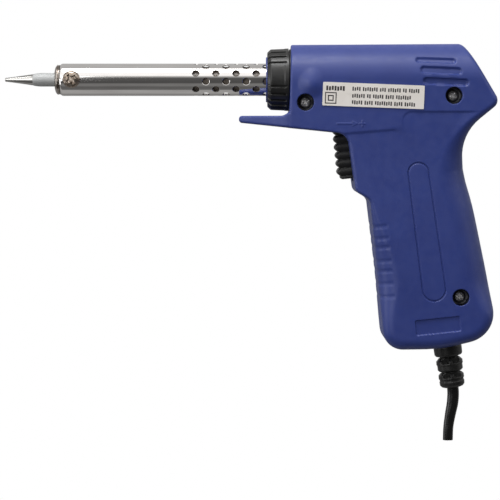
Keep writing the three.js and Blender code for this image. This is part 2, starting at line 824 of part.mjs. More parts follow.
function collarNut() {
  const { front, rear, bore, radius } = NUT;
  const body = turned(
    [
      [front, bore],
      [front + 0.3, radius - 1.5],
      [front + 1.5, radius - 0.3],
      [rear - 1.8, radius],
      [rear - 1.5, radius + 0.15],
      [rear, radius + 0.15],
      [rear, bore],
    ],
    36,
  );
  const grooves = [];
  const { groups, perGroup, first, spacing } = NUT_GROOVES;
  for (let group = 0; group < groups; group++) {
    for (let k = 0; k < perGroup; k++) {
      const angle = first + (group * 360) / groups + (k - (perGroup - 1) / 2) * spacing;
      const bar = new THREE.BoxGeometry(rear - 2.2 - front, 1.2, 0.8);
      bar.translate((front + rear - 2.2) / 2 - 0.2, radius, 0).rotateX(radians(180 - angle));
      grooves.push(solid(bar));
    }
  }
  return cut(body, grooves);
}

const LABEL = { x: 37.1, z: -7.55, length: 45.8, height: 10.6, tiltDeg: 2.2, thickness: 0.2 };

// ---------------------------------------------------------------- assembly

const iron = new THREE.Group();

function place(parent, name, made, material) {
  const mesh = new THREE.Mesh(made.isBufferGeometry ? made : geometryOf(made), MATERIALS[material]);
  mesh.name = name;
  parent.add(mesh);
  return mesh;
}

place(iron, "casing_left", casingHalf(-1), "casing");
place(iron, "casing_right", casingHalf(1), "casing");
place(iron, "collar_nut", collarNut(), "blackPlastic");
place(iron, "casing_screw_front", casingScrew(CASING_SCREWS.front), "steel");
place(iron, "casing_screw_rear", casingScrew(CASING_SCREWS.rear), "steel");
place(iron, "casing_screw_lower", casingScrew(CASING_SCREWS.lower), "steel");

place(iron, "barrel_tube", barrelTube(), "chrome");
place(iron, "barrel_flange", barrelFlange(), "steel");
place(iron, "front_cap", frontCap(), "chrome");
place(iron, "tip_screw", tipScrew(), "steel");
place(iron, "soldering_tip", solderingTip(), "platedTip");
place(iron, "heater_bobbin", heaterBobbin(), "ceramic");
place(iron, "heater_winding_boost", winding(-90, -66, 6), "nichrome");
place(iron, "heater_winding_main", winding(-64, -34, 8), "nichrome");
place(iron, "mica_sleeve", micaSleeve(), "mica");
place(iron, "lead_bushing", leadBushing(), "ceramic");
for (const name of Object.keys(LEADS)) {
  place(iron, `heater_lead_${name}`, heaterLead(name), "sleeve");
}

place(iron, "terminal_block", terminalBlock(), "ceramic");
for (const [name, z] of Object.entries(POLES)) {
  place(iron, `terminal_screw_${name}`, terminalScrew(z), "brass");
}
place(iron, "core_neutral", mainsCore(-1, POLES.common), "blueWire");
place(iron, "core_live", mainsCore(1, POLES.main), "brownWire");

const trigger = new THREE.Group();
trigger.position.set(TRIGGER.x, 0, TRIGGER.z);
trigger.rotation.y = -radians(TRIGGER.tiltDeg);
iron.add(trigger);
place(trigger, "trigger", triggerBody(), "blackPlastic");
place(trigger, "switch_plunger", switchPlunger(), "blackPlastic");
place(trigger, "moving_contact", movingContact(), "brass");
place(trigger, "trigger_spring", triggerSpring(), "steel");
place(trigger, "switch_housing", switchHousing(), "blackPlastic");
place(trigger, "switch_cover", switchCover(), "blackPlastic");
place(trigger, "switch_terminal_upper", switchTerminal(1), "brass");
place(trigger, "switch_terminal_lower", switchTerminal(-1), "brass");

const boot = bootFrame();
iron.add(boot);
place(boot, "strain_relief", strainRelief(), "rubber");
place(boot, "cord_clamp", cordClamp(), "blackPlastic");
place(boot, "cord_clamp_screw_front", cordClampScrew(-1), "steel");
place(boot, "cord_clamp_screw_rear", cordClampScrew(1), "steel");
place(iron, "cord_inner", cordInner(), "rubber");
place(iron, "cord_tail", cordTail(), "rubber");

const label = new THREE.BoxGeometry(LABEL.length, LABEL.thickness, LABEL.height);
const plate = place(iron, "rating_label", label, "label");
plate.position.set(LABEL.x, -HALF_WIDTH - LABEL.thickness, LABEL.z);
plate.rotation.y = radians(LABEL.tiltDeg);

// The tool's frame starts at the point it works with.
const solderingIron = new THREE.Group();
iron.position.x = -TIP.point;
solderingIron.add(iron);

export default solderingIron;
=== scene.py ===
"""The look of a pistol-grip soldering iron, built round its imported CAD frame.

Shapes are drawn in millimetres in the handle's own frame: the barrel's axis is X, the origin is where it
leaves the casing, +Z is up and -Y is the visible side. Most moulded pieces are distance functions, negative
inside, that are skinned with a grid of small faces.
"""

import cmath
import json
import math
from functools import reduce
from itertools import combinations
from types import SimpleNamespace as Sizes

import bmesh
import bpy
import numpy as np
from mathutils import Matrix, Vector


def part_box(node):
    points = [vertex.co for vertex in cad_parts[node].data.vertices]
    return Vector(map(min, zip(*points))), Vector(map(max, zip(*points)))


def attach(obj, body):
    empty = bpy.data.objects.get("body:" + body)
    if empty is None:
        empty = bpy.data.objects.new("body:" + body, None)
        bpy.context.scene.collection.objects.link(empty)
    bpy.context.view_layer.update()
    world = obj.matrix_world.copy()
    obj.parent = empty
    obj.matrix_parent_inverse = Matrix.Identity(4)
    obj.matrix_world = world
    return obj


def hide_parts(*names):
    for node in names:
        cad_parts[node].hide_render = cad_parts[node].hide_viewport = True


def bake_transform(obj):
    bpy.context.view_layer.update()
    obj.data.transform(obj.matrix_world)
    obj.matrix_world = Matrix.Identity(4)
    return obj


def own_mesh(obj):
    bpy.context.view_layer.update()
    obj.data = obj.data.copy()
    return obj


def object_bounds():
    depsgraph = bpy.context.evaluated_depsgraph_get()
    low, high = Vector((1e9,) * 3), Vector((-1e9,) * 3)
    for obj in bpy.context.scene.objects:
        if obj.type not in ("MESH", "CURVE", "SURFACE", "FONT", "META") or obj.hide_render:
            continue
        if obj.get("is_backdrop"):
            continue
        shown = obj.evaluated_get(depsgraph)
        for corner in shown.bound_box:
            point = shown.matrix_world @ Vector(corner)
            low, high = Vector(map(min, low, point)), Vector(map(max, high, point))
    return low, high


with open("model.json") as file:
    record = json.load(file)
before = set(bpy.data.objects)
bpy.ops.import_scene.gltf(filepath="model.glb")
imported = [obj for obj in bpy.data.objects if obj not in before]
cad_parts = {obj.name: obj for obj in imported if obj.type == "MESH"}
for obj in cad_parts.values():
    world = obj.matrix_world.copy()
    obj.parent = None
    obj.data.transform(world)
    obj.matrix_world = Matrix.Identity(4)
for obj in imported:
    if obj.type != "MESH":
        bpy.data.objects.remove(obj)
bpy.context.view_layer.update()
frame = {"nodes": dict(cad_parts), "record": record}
scene = bpy.context.scene

MM = 0.001
NUT_TO_FACE = 0.9  # gap between the collar nut and the casing's front face
FACE_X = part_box("collar_nut")[1].x / MM + NUT_TO_FACE  # the casing's front face in the part's frame

# ---- sizes, in mm

WALL = 2.2
HALF_WIDTH = 16.5
PARTING_GAP = 0.1  # between the casing's halves
SKIN_BOX = Sizes(x=(-25, 98), y=20, z=(-127, 18))  # the space in which the casing is skinned
GRID = Sizes(casing=0.75, trigger=0.3, boot=0.2, tip_screw=0.14, casing_screw=0.13)

# The handle seen from its side: corners (x, z, fillet radius). The top is left high and is cut by the dome.
OUTLINE = [
    (0.8, 40, 0), (64.5, 40, 0), (94.56, -10.5, 4.0), (78.4, -24.0, 20), (78.6, -40.8, 45),
    (83.6, -57.6, 100), (90.5, -90.2, 250), (94.9, -116.8, 14), (69.0, -123.15, 60), (43.2, -123.5, 9),
    (39.1, -84, 150), (35.9, -54.8, 3.6), (29.4, -50.8, 3.8), (25.7, -24.75, 6), (-0.85, -22.0, 0),
]
GUARD = [
    (-23.6, -16.6, 1.4), (-3.6, -16.6, 3.5), (-0.7, -14.9, 1.0), (-0.6, -12, 0),
    (6, -12, 0), (6, -22.68, 0), (-23.6, -19.65, 1.4),
]
GUARD_WIDTH = Sizes(tip=7.5, root=HALF_WIDTH - 0.05, length=30)
THUMB_REST = [(50.2, -14.5, 4.2), (110, -14.5, 0), (110, -71.8, 0), (50.2, -23.0, 4.2)]

NECK = Sizes(front=-11.2, radius=10.3, bore=7.7, bore_end=4.45)
SHOULDER = Sizes(front=-0.65, radius=13.9)
INSIDE = 3  # the neck and shoulder reach this far into the casing
FLANGE_RIB = Sizes(x=5.25, half=0.75, inner=8.2, outer=15.0)
FLANGE_POCKET = Sizes(x=3.45, half=1.05, radius=10.1)
WELLS = {"front": (6.5, -10.55), "rear": (73.5, -7.5), "lower": (77.3, -99.0)}
WELL_RADIUS = 3.85
WELL_FLOOR = 9.0
WELL_WALL = 1.5
TOWER_RADIUS = 2.75
SCREW_HOLE = Sizes(radius=1.65, end=11)
SLOT = Sizes(x=(18.8, 33), z=(-46.5, -19.5), half_width=7.7)
BOOT = Sizes(x=73.1, z=-123.15, tilt=math.radians(7.7), seat=5.15)
SWELLING = Sizes(x=9.4, y=8.4, z=-2.4, radius=9.5)

# ---- numbers and distances


def smooth(value, low, high):
    """0 below low, 1 above high, and a smooth step between them."""
    t = np.clip((value - low) / (high - low), 0, 1)
    return t * t * (3 - 2 * t)


def mix(a, b, t):
    return a + (b - a) * t


def local(place, x, z):
    """Positions along and up the axes of something tilted, seen from the side."""
    c, s = math.cos(place.tilt), math.sin(place.tilt)
    return (x - place.x) * c + (z - place.z) * s, (z - place.z) * c - (x - place.x) * s


def point_at(place, u, v, y=0):
    """The point at a position along and up the axes of something tilted."""
    c, s = math.cos(place.tilt), math.sin(place.tilt)
    return np.array([place.x + u * c - v * s, y, place.z + u * s + v * c])


def largest(*values):
    """The largest of some arrays. Of distances to shapes, it is the distance to their overlap."""
    return reduce(np.maximum, values)


def least(*values):
    """The least of some arrays. Of distances to shapes, it is the distance to their union."""
    return reduce(np.minimum, values)


def round_max(a, b, r):
    """The overlap of two distances, with its edge rounded to radius r."""
    return least(largest(a, b), -r) + np.hypot(largest(a + r, 0), largest(b + r, 0))


def round_min(a, b, r):
    """The union of two distances, with a fillet of radius r."""
    return -round_max(-a, -b, r)


def rounded(corners, step=8):
    """A closed polygon whose corners (u, v, radius) are rounded by arcs of about step degrees a side."""
    points = []
    for i, (u, v, radius) in enumerate(corners):
        corner = complex(u, v)
        before = complex(*corners[i - 1][:2]) - corner
        after = complex(*corners[(i + 1) % len(corners)][:2]) - corner
        before, after = before / abs(before), after / abs(after)
        turn = math.pi - abs(cmath.phase(after / before))
        if not radius or turn < 0.01:
            points.append(corner)
            continue
        centre = corner + (before + after) / abs(before + after) * radius / math.cos(turn / 2)
        reach = radius * math.tan(turn / 2)
        start, end = corner + before * reach - centre, corner + after * reach - centre
        sweep = math.copysign(turn, (end / start).imag)
        count = max(2, math.ceil(math.degrees(turn) / step))
        points += [centre + start * cmath.exp(1j * sweep * k / count) for k in range(count + 1)]
    return np.array([(p.real, p.imag) for p in points])


def polygon_distance(points, u, v):
    """Signed distance from the points u, v to a closed polygon."""
    nearest = np.full(np.broadcast(u, v).shape, 1e9)
    inside = np.zeros(nearest.shape, bool)
    for (au, av), (bu, bv) in zip(points, np.roll(points, -1, axis=0)):
        eu, ev = bu - au, bv - av
        t = np.clip(((u - au) * eu + (v - av) * ev) / (eu * eu + ev * ev), 0, 1)
        nearest = least(nearest, (u - au - t * eu) ** 2 + (v - av - t * ev) ** 2)
        if ev:
            inside ^= ((av > v) != (bv > v)) & (u < au + (v - av) / ev * eu)
    return np.where(inside, -1, 1) * np.sqrt(nearest)


FIELD_X, FIELD_Z = np.arange(-40, 112, 0.25), np.arange(-140, 44, 0.25)


def side_field(corners):
    """A distance in the side view, worked out once on a grid and read back between its points."""
    values = polygon_distance(rounded(corners), FIELD_X[:, None], FIELD_Z[None, :])

    def read(x, z):
        u, v = ((w - grid[0]) / (grid[1] - grid[0]) for w, grid in ((x, FIELD_X), (z, FIELD_Z)))
        i, k = (np.clip(np.floor(w).astype(int), 0, n - 2) for w, n in zip((u, v), values.shape))
        near = mix(values[i, k], values[i + 1, k], u - i)
        far = mix(values[i, k + 1], values[i + 1, k + 1], u - i)
        return mix(near, far, v - k)

    return read


# ---- skinning


def surface_nets(distance, low, high, step):
    """Points and four-sided faces on the surface where a distance is zero."""
    axes = [np.arange(a, b + step, step) for a, b in zip(low, high)]
    value = distance(*np.meshgrid(*axes, indexing="ij", sparse=True))
    value = np.broadcast_to(value, [len(a) for a in axes]).astype(np.float32)
    inside = value < 0
    corners = np.array([(i, j, k) for i in (0, 1) for j in (0, 1) for k in (0, 1)])
    part = [slice(0, -1), slice(1, None)]
    count = sum(inside[part[i], part[j], part[k]].astype(np.int8) for i, j, k in corners)
    active = (count > 0) & (count < 8)
    cells = np.argwhere(active)
    index = np.full(active.shape, -1, np.int64)
    index[active] = np.arange(len(cells))
    at = [value[tuple((cells + c).T)] for c in corners]
    total, crossings = np.zeros((len(cells), 3)), np.zeros((len(cells), 1))
    for a, b in combinations(range(8), 2):
        if a ^ b not in (1, 2, 4):  # not the two ends of one edge
            continue
        cross = ((at[a] < 0) != (at[b] < 0))[:, None]
        gap = np.where(cross[:, 0], at[a] - at[b], 1)
        total += cross * (corners[a] + (at[a] / gap)[:, None] * (corners[b] - corners[a]))
        crossings += cross
    points = np.array([a[0] for a in axes]) + (cells + total / crossings) * step
    quads = []
    for d in range(3):
        side_a, side_b = np.eye(3, dtype=int)[[(d + 1) % 3, (d + 2) % 3]]
        trim = tuple(slice(0, -1) if k == d else slice(1, -1) for k in range(3))
        far = tuple(slice(1, None) if k == d else slice(1, -1) for k in range(3))
        here = np.argwhere(inside[trim] != inside[far]) + side_a + side_b
        ring = [here, here - side_a, here - side_a - side_b, here - side_b]
        quad = np.stack([index[tuple(c.T)] for c in ring], 1)
        outward = inside[tuple(here.T)]
        quads.append(np.where(outward[:, None], quad, quad[:, ::-1]))
    return points, np.concatenate(quads)


def gradient(distance, points, h=0.03):
    steps = np.eye(3) * h
    return np.stack([distance(*(points + d).T) - distance(*(points - d).T) for d in steps], 1) / (2 * h)


def settle(points, distance, rounds=3, most=0.3):
    """Moves points onto the surface, a few small steps along the slope."""
    for _ in range(rounds):
        slope = gradient(distance, points)
        step = distance(*points.T) / largest((slope**2).sum(1), 0.3)
        points = points - np.clip(step, -most, most)[:, None] * slope
    return points


# ---- meshes

FINISH = {s["node"]: s["material_slot"] for s in frame["record"]["subparts"]}


def placed(points):
    """Points in mm in the handle's frame, in metres in the part's."""
    return (np.asarray(points, float) + [FACE_X, 0, 0]) * MM


def new_object(name, data):
    made = bpy.data.objects.new(name, data)
    scene.collection.objects.link(made)
    return made


def new_mesh(name, points, faces, finish, crease=40):
    """A mesh object from points in mm in the handle's frame."""
    mesh = bpy.data.meshes.new(name)
    mesh.from_pydata(placed(points).tolist(), [], [list(map(int, f)) for f in faces])
    mesh.validate()
    mesh.shade_smooth()
    mesh.set_sharp_from_angle(angle=math.radians(crease))
    mesh.materials.append(finish)
    return new_object(name, mesh)


def skinned(name, distance, low, high, step, finish, crease=40, most=0.3, middle=(0, 0, 0)):
    """The skin of a distance function between two corners about its middle."""
    points, quads = surface_nets(distance, low, high, step)
    return new_mesh(name, settle(points, distance, 3, most) + middle, quads, finish, crease)


def ring_faces(rows, around, ends):
    """Faces between rows of points that each go round. ends is "flat", or "joined" for last row to first."""
    faces = []
    for i in range(rows if ends == "joined" else rows - 1):
        here, after = i * around, (i + 1) % rows * around
        for k in range(around):
            n = (k + 1) % around
            faces.append([here + k, after + k, after + n, here + n])
    if ends == "flat":
        faces.append(list(range(around)))
        faces.append(list(range((rows - 1) * around, rows * around))[::-1])
    return faces


def circle(count):
    return np.arange(count) * 2 * math.pi / count


def wrap(x, angle, radius):
    """A point on a circle round the X axis, from -Y upwards."""
    return np.stack(np.broadcast_arrays(x, -radius * np.cos(angle), radius * np.sin(angle)), -1)


def turned(name, profile, finish, ends, segments, crease=30):
    """A turned piece from (x, r) points along its outside."""
    points = np.concatenate([wrap(x, circle(segments), r) for x, r in profile])
    return new_mesh(name, points, ring_faces(len(profile), segments, ends), finish, crease)


def replace(made, body):
    """Makes a piece, NODE_skin, stand for that CAD node on a body."""
    stands_for = made.name.removesuffix("_skin")
    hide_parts(stands_for)
    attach(made, body)
    return made


# ---- the casing

handle_side = side_field(OUTLINE)
guard_side = side_field(GUARD)
thumb_side = side_field(THUMB_REST)


def crease_height(x):
    """The line where the barrel-shaped upper part ends and the grip starts, seen from the side."""
    return -25.0 + (x - 24.5) * 0.085


def half_width(x, z):
    """Half the handle's width: a full upper part, a slim throat, a fuller palm and a slimmer lower end."""
    grip = 16.1 + 0.7 * smooth(-z, 34, 75) - 0.6 * smooth(-z, 85, 118)
    rearwards = smooth(x, 46, 62)
    low = mix(crease_height(x) - 0.5, -52, rearwards)
    high = mix(crease_height(x) + 0.9, -10, rearwards)
    return mix(grip, HALF_WIDTH, smooth(z, low, high))


def edge_rounding(x, z):
    """The radius of the long edges: tight at the front and the nose, generous round the palm."""
    front = mix(1.2, 10.0, smooth(-z, 50, 92))
    rear = mix(mix(2.4, 1.6, smooth(z, 0, 10)), 13.0, smooth(-z, 10, 46))
    middle = 52 - 0.16 * (z + 24)
    radius = mix(front, rear, smooth(x, middle - 12, middle + 12))
    radius = mix(0.8, radius, largest(smooth(x, 20, 34), smooth(-z, 26, 30)))
    return mix(radius, 5.0, smooth(-z, 90, 114))


def boot_axes(x, z):
    """Position along the boot's axis, outwards, and across it."""
    across, inwards = local(BOOT, x, z)
    return -inwards, across


def casing_outer(x, y, z):
    """The whole handle's smooth outside, with both halves together."""
    a = abs(y)
    dome_axis = -0.6 + 0.5 * x / 80
    width = np.hypot(a, largest(z - dome_axis, 0)) - half_width(x, z)
    body = round_max(handle_side(x, z), width, edge_rounding(x, z))
    taper = smooth(-x, 0, GUARD_WIDTH.length)
    guard = round_max(guard_side(x, z), a - mix(GUARD_WIDTH.root, GUARD_WIDTH.tip, taper), 1.0)
    swelling = np.hypot(np.hypot(x - SWELLING.x, a - SWELLING.y), z - SWELLING.z) - SWELLING.radius
    body = round_min(round_min(body, guard, 0.2), swelling, 1.0)
    collars = [largest(np.hypot(y, z) - c.radius, c.front - x, x - INSIDE) for c in (NECK, SHOULDER)]
    return least(body, *collars)


def box_distance(x, y, z, low, high):
    return largest(*(largest(a - v, v - b) for v, a, b in zip((x, y, z), low, high)))


def casing_openings(x, y, z):
    """The barrel's bore, the pocket of its flange, the trigger's slot and the seat of the boot."""
    radial = np.hypot(y, z)
    bore = largest(radial - NECK.bore, x - NECK.bore_end)
    flange = largest(radial - FLANGE_POCKET.radius, abs(x - FLANGE_POCKET.x) - FLANGE_POCKET.half)
    (x0, x1), (z0, z1) = SLOT.x, SLOT.z
    slot = largest(x0 - x, x - x1, z0 - z, z - z1, abs(y) - SLOT.half_width)
    along, across = boot_axes(x, z)
    seat = largest(np.hypot(across, y) - BOOT.seat, -10 - along, along - 6)
    return least(bore, flange, slot, seat)


def casing_half(side):
    """The distance function of one half. side is -1 for the left half and 1 for the right."""

    def distance(x, y, z):
        outer = casing_outer(x, y, z)
        within = outer + 0.6  # ribs and towers end inside the wall
        radial = np.hypot(y, z)
        rib = largest(FLANGE_RIB.inner - radial, radial - FLANGE_RIB.outer)
        rib = largest(rib, abs(x - FLANGE_RIB.x) - FLANGE_RIB.half)
        solid = least(largest(outer, -(outer + WALL)), largest(rib, within))
        reaches = [np.hypot(x - wx, z - wz) for wx, wz in WELLS.values()]
        for reach in reaches:
            tower = reach - TOWER_RADIUS
            if side < 0:
                tower = least(tower, largest(reach - WELL_RADIUS - WELL_WALL, y + WELL_FLOOR - 2))
            solid = least(solid, largest(tower, within))
        solid = largest(solid, -casing_openings(x, y, z))
        for reach in reaches:
            hole = reach - SCREW_HOLE.radius
            if side < 0:
                solid = round_max(solid, -largest(reach - WELL_RADIUS, y + WELL_FLOOR), 0.25)
            else:
                hole = largest(hole, y - SCREW_HOLE.end)
            solid = largest(solid, -hole)
        return largest(solid, PARTING_GAP - side * y)

    return distance


SLOTS = [
    ((57.6, 8.65, 1.4), (73.3, 8.1, 1.4)),
    ((60.0, 4.1, 1.9), (75.4, 3.4, 1.9)),
    ((61.2, -0.95, 1.85), (78.5, -1.75, 1.85)),
]
GRIP_LOOP = ((57.7, -42.5, 4.6), (65.1, -95.4, 5.24))
RECESS = Sizes(x=67.0, z=-112.0, half=(10.34, 3.63), tilt=math.radians(6.1), round=0.8)
DEPTHS = Sizes(thumb=0.45, slot=0.95, recess=0.65, loop=0.5, rib=0.17, arrow=-0.14)
RIB_HEIGHTS = (-67.2, -72.6, -76.8, -83.0, -87.6, -93.4, -99.3)
ARROW = Sizes(x=(21.0, 29.6), z=-20.2)


def capsule(x, z, a, b):
    """Distance to the line from a to b, each (x, z, radius)."""
    ex, ez = b[0] - a[0], b[1] - a[1]
    t = np.clip(((x - a[0]) * ex + (z - a[1]) * ez) / (ex * ex + ez * ez), 0, 1)
    return np.hypot(x - a[0] - t * ex, z - a[1] - t * ez) - mix(a[2], b[2], t)


def recess_distance(x, z):
    u, v = local(RECESS, x, z)
    a, b = (abs(w) - half + RECESS.round for w, half in zip((u, v), RECESS.half))
    return np.hypot(largest(a, 0), largest(b, 0)) + least(largest(a, b), 0) - RECESS.round


def arrow_distance(x, z):
    """A raised arrow and plus sign."""
    x0, x1 = ARROW.x
    z0 = ARROW.z
    shaft = capsule(x, z, (x0, z0, 0.3), (x1, z0, 0.3))
    barbs = [capsule(x, z, (x1, z0, 0.3), (x1 - 1.6, z0 + s * 0.8, 0.3)) for s in (-1, 1)]
    plus = [
        capsule(x, z, (x1 + 1.4, z0, 0.28), (x1 + 3.8, z0, 0.28)),
        capsule(x, z, (x1 + 2.6, z0 - 1.2, 0.28), (x1 + 2.6, z0 + 1.2, 0.28)),
    ]
    return least(shaft, *barbs, *plus)


def thumb_scoop(x, z):
    """The thumb rest: deepest under its upper line, fading out towards a slanting line and the rear edge."""
    from_diagonal = (x - 52.7) * 0.64 + (z + 24.5) * 0.77
    depth = DEPTHS.thumb * smooth(from_diagonal, -1.5, 12)
    fade = smooth(-handle_side(x, z), 1.0, 8.0)
    return depth * fade * smooth(-thumb_side(x, z), -0.05, 0.6)


def relief(x, z):
    """How far the moulded details sink below the casing's smooth surface, seen from its side."""
    depth = thumb_scoop(x, z)
    for a, b in SLOTS:
        depth = largest(depth, DEPTHS.slot * smooth(-capsule(x, z, a, b), -0.05, 0.85))
    depth = largest(depth, DEPTHS.recess * smooth(-recess_distance(x, z), -0.05, 0.45))
    loop = abs(capsule(x, z, *GRIP_LOOP))
    depth = largest(depth, DEPTHS.loop * (1 - smooth(loop, 0.1, 0.5)))
    from_front = -handle_side(x, z)
    lean = 0.11 * from_front
    ribs = np.max([1 - smooth(abs(z - lean - h), 0.2, 1.5) for h in RIB_HEIGHTS], axis=0)
    near_front = (1 - smooth(from_front, 6.0, 7.2)) * (x < 58)
    depth = largest(depth, DEPTHS.rib * ribs * near_front)
    return depth + DEPTHS.arrow * (1 - smooth(arrow_distance(x, z), -0.15, 0.35))


def near_detail(x, z, reach):
    """True where the smooth surface needs finer faces for its details."""
    near = (abs(thumb_side(x, z)) < reach) & (x < 92)
    for a, b in SLOTS:
        near |= abs(capsule(x, z, a, b)) < reach
    ribs = np.min([abs(z - h) for h in RIB_HEIGHTS], axis=0)
    near |= (-handle_side(x, z) < 8.5) & (x < 58) & (ribs < 2.2)
    return near | near_line(x, z, reach)


def near_line(x, z, reach):
    """True by the narrow lines, which need the finest faces."""
    near = abs(capsule(x, z, *GRIP_LOOP)) < reach
    near |= abs(arrow_distance(x, z)) < reach
    return near | (abs(recess_distance(x, z)) < reach)


def divide(points, faces, wanted):
    """Splits the wanted faces into four."""
    mesh = bpy.data.meshes.new("work")
    mesh.from_pydata(points.tolist(), [], faces)
    work = bmesh.new()
    work.from_mesh(mesh)
    work.faces.ensure_lookup_table()
    edges = {e for i in np.flatnonzero(wanted) for e in work.faces[i].edges}
    bmesh.ops.subdivide_edges(work, edges=list(edges), cuts=1, use_grid_fill=True)
    work.to_mesh(mesh)
    work.free()
    points = np.array([v.co for v in mesh.vertices], float)
    faces = [list(p.vertices) for p in mesh.polygons]
    bpy.data.meshes.remove(mesh)
    return points, faces


def normals_of(distance, points):
    slope = gradient(distance, points)
    return slope / largest(np.linalg.norm(slope, axis=1), 1e-6)[:, None]


def bend_of(distance, points, faces):
    """How far the surface turns within each face, as the cosine between its opposite corners' normals."""
    normals = normals_of(distance, points)
    first, second, third, last = ([f[k] for f in faces] for k in (0, 1, 2, -1))
    one = (normals[first] * normals[third]).sum(1)
    other = (normals[second] * normals[last]).sum(1)
    return least(one, other)


# Two passes of finer faces: the least cosine left alone, what else is divided, its reach, the largest move.
REFINEMENTS = [(0.975, near_detail, 1.2, 0.25), (0.93, near_line, 0.7, 0.15)]


def casing(name, side, finish):
    """One half of the handle: a skin that is divided where it bends, then sunk by its moulded details."""
    distance = casing_half(side)
    across = sorted((-0.5 * side, SKIN_BOX.y * side))
    low, high = zip(SKIN_BOX.x, across, SKIN_BOX.z)
    points, quads = surface_nets(distance, low, high, GRID.casing)
    points = settle(points, distance)
    faces = [list(map(int, q)) for q in quads]
    for straightest, near, reach, most in REFINEMENTS:
        middles = np.array([points[f].mean(0) for f in faces])
        outside = casing_outer(*middles.T) > -0.9
        bent = bend_of(distance, points, faces) < straightest
        detailed = near(middles[:, 0], middles[:, 2], reach)
        points, faces = divide(points, faces, outside & (bent | detailed))
        points = settle(points, distance, 2, most)
    on_outside = abs(casing_outer(*points.T)) < 0.05
    depth = relief(points[:, 0], points[:, 2]) * on_outside
    points = points - depth[:, None] * normals_of(distance, points)
    return new_mesh(name, points, faces, finish)


# ---- nut, trigger, barrel, tip

NUT = Sizes(front=-10.6, rear=-0.9, bore=10.75, bore_chamfer=0.3)
NUT_RADII = [
    (-10.6, 12.3), (-10.3, 12.7), (-9.2, 13.7), (-8.8, 13.85), (-2.9, 14.1), (-2.5, 14.25), (-0.9, 14.3),
]
GROOVES = Sizes(first=54, spacing=14.7, groups=4, in_group=4, half=0.55, depth=0.8, end=-2.35)


def groove_depth(x, angles, radius):
    """How far the grooves sink into the nut at x: straight cuts with a round end at the rear."""
    groups, count = GROOVES.groups, GROOVES.in_group
    offsets = [GROOVES.first + (k - (count - 1) / 2) * GROOVES.spacing for k in range(count)]
    centres = [offset + 360 / groups * g for g in range(groups) for offset in offsets]
    apart = np.min([abs((np.degrees(angles) - c + 180) % 360 - 180) for c in centres], axis=0)
    gap = np.hypot(np.radians(apart) * radius, largest(x - GROOVES.end, 0)) - GROOVES.half
    return GROOVES.depth * smooth(-gap, -0.12, 0.22)


def collar_nut(finish):
    """The nut: a chamfered front, a slight flare, a thin collar at the rear, and grooves."""
    segments = 900
    angles = circle(segments)
    spans = ((NUT.front, -8.4, 12), (-8.1, -2.6, 20), (-2.4, NUT.rear - 0.05, 10))
    rows = []
    for x in np.concatenate([np.linspace(*span) for span in spans]):
        radius = np.interp(x, *zip(*NUT_RADII))
        rows.append(wrap(x, angles, radius - groove_depth(x, angles, radius)))
    bore, chamfer = NUT.bore, NUT.bore_chamfer
    rows += [wrap(NUT.rear, angles, r) for r in (NUT_RADII[-1][1], bore)]
    rows += [wrap(NUT.front + x, angles, bore + chamfer - x) for x in (chamfer, 0)]
    faces = ring_faces(len(rows), segments, "joined")
    return new_mesh("collar_nut_skin", np.concatenate(rows), faces, finish, 50)


TRIGGER = Sizes(x=20.9, z=-35.0, tilt=math.radians(6), half_width=7.2, top=13.5, bottom=-10.8)
LOBES = Sizes(first=11.2, pitch=3.75, count=6)
# Boxes in the trigger: lowest and highest corners along its travel, half across, and up its face.
TRIGGER_FLANGE = ((10.8, -1, -9.8), (14.5, 9.4, 10.5))
TRIGGER_HOLLOWS = (((4.5, -1, -8.8), (20, 5.4, -4)), ((4.5, -1, 4), (20, 5.4, 11.5)))
SPRING_SOCKET = Sizes(radius=1.95, floor=9)


def trigger_distance(x, y, z):
    """The trigger: a block with finger lobes, a flange that keeps it in, hollows and the spring's socket."""
    u, v = local(TRIGGER, x, z)  # along the way it is pressed, and up its face
    step = (LOBES.first - v) / LOBES.pitch
    within = smooth(step, -0.7, -0.4) * (1 - smooth(step, LOBES.count - 0.6, LOBES.count - 0.4))
    lobe = largest(np.cos(math.pi * (step - np.round(step) + 0.06)), 0.02) ** 0.8
    front = 1.15 - 1.35 * lobe * within
    side = 0.7 * (1 - lobe) * within * (1 - smooth(u, 6.5, 8.5))
    a = abs(y)
    block = round_max(front - u, a - TRIGGER.half_width + side, 1.2)
    block = round_max(round_max(block, v - TRIGGER.top, 0.7), TRIGGER.bottom - v, 0.7)
    block = largest(block, u - TRIGGER_FLANGE[1][0])
    hollows = [box_distance(u, a, v, *box) for box in TRIGGER_HOLLOWS]
    socket = largest(np.hypot(y, v) - SPRING_SOCKET.radius, SPRING_SOCKET.floor - u)
    return largest(least(block, box_distance(u, a, v, *TRIGGER_FLANGE)), -least(*hollows, socket))


SPRING = Sizes(start=15.1, end=24.2, radius=3.1, wire=0.35, turns=6)


def trigger_spring(finish):
    """The round wire spring between the trigger and its switch."""
    per_turn, sides = 32, 10
    count = SPRING.turns * per_turn
    points = []
    for k in range(count + 1):
        turn = 2 * math.pi * k / per_turn
        along = mix(SPRING.start, SPRING.end, k / count)
        for angle in circle(sides):
            reach = SPRING.radius + SPRING.wire * math.cos(angle)
            u = along + SPRING.wire * math.sin(angle)
            points.append(point_at(TRIGGER, u, reach * math.sin(turn), reach * math.cos(turn)))
    return new_mesh("trigger_spring_skin", points, ring_faces(count + 1, sides, "flat"), finish, 50)


TUBE = Sizes(front=-105.5, rear=4.0, outer=7.4, inner=6.8)
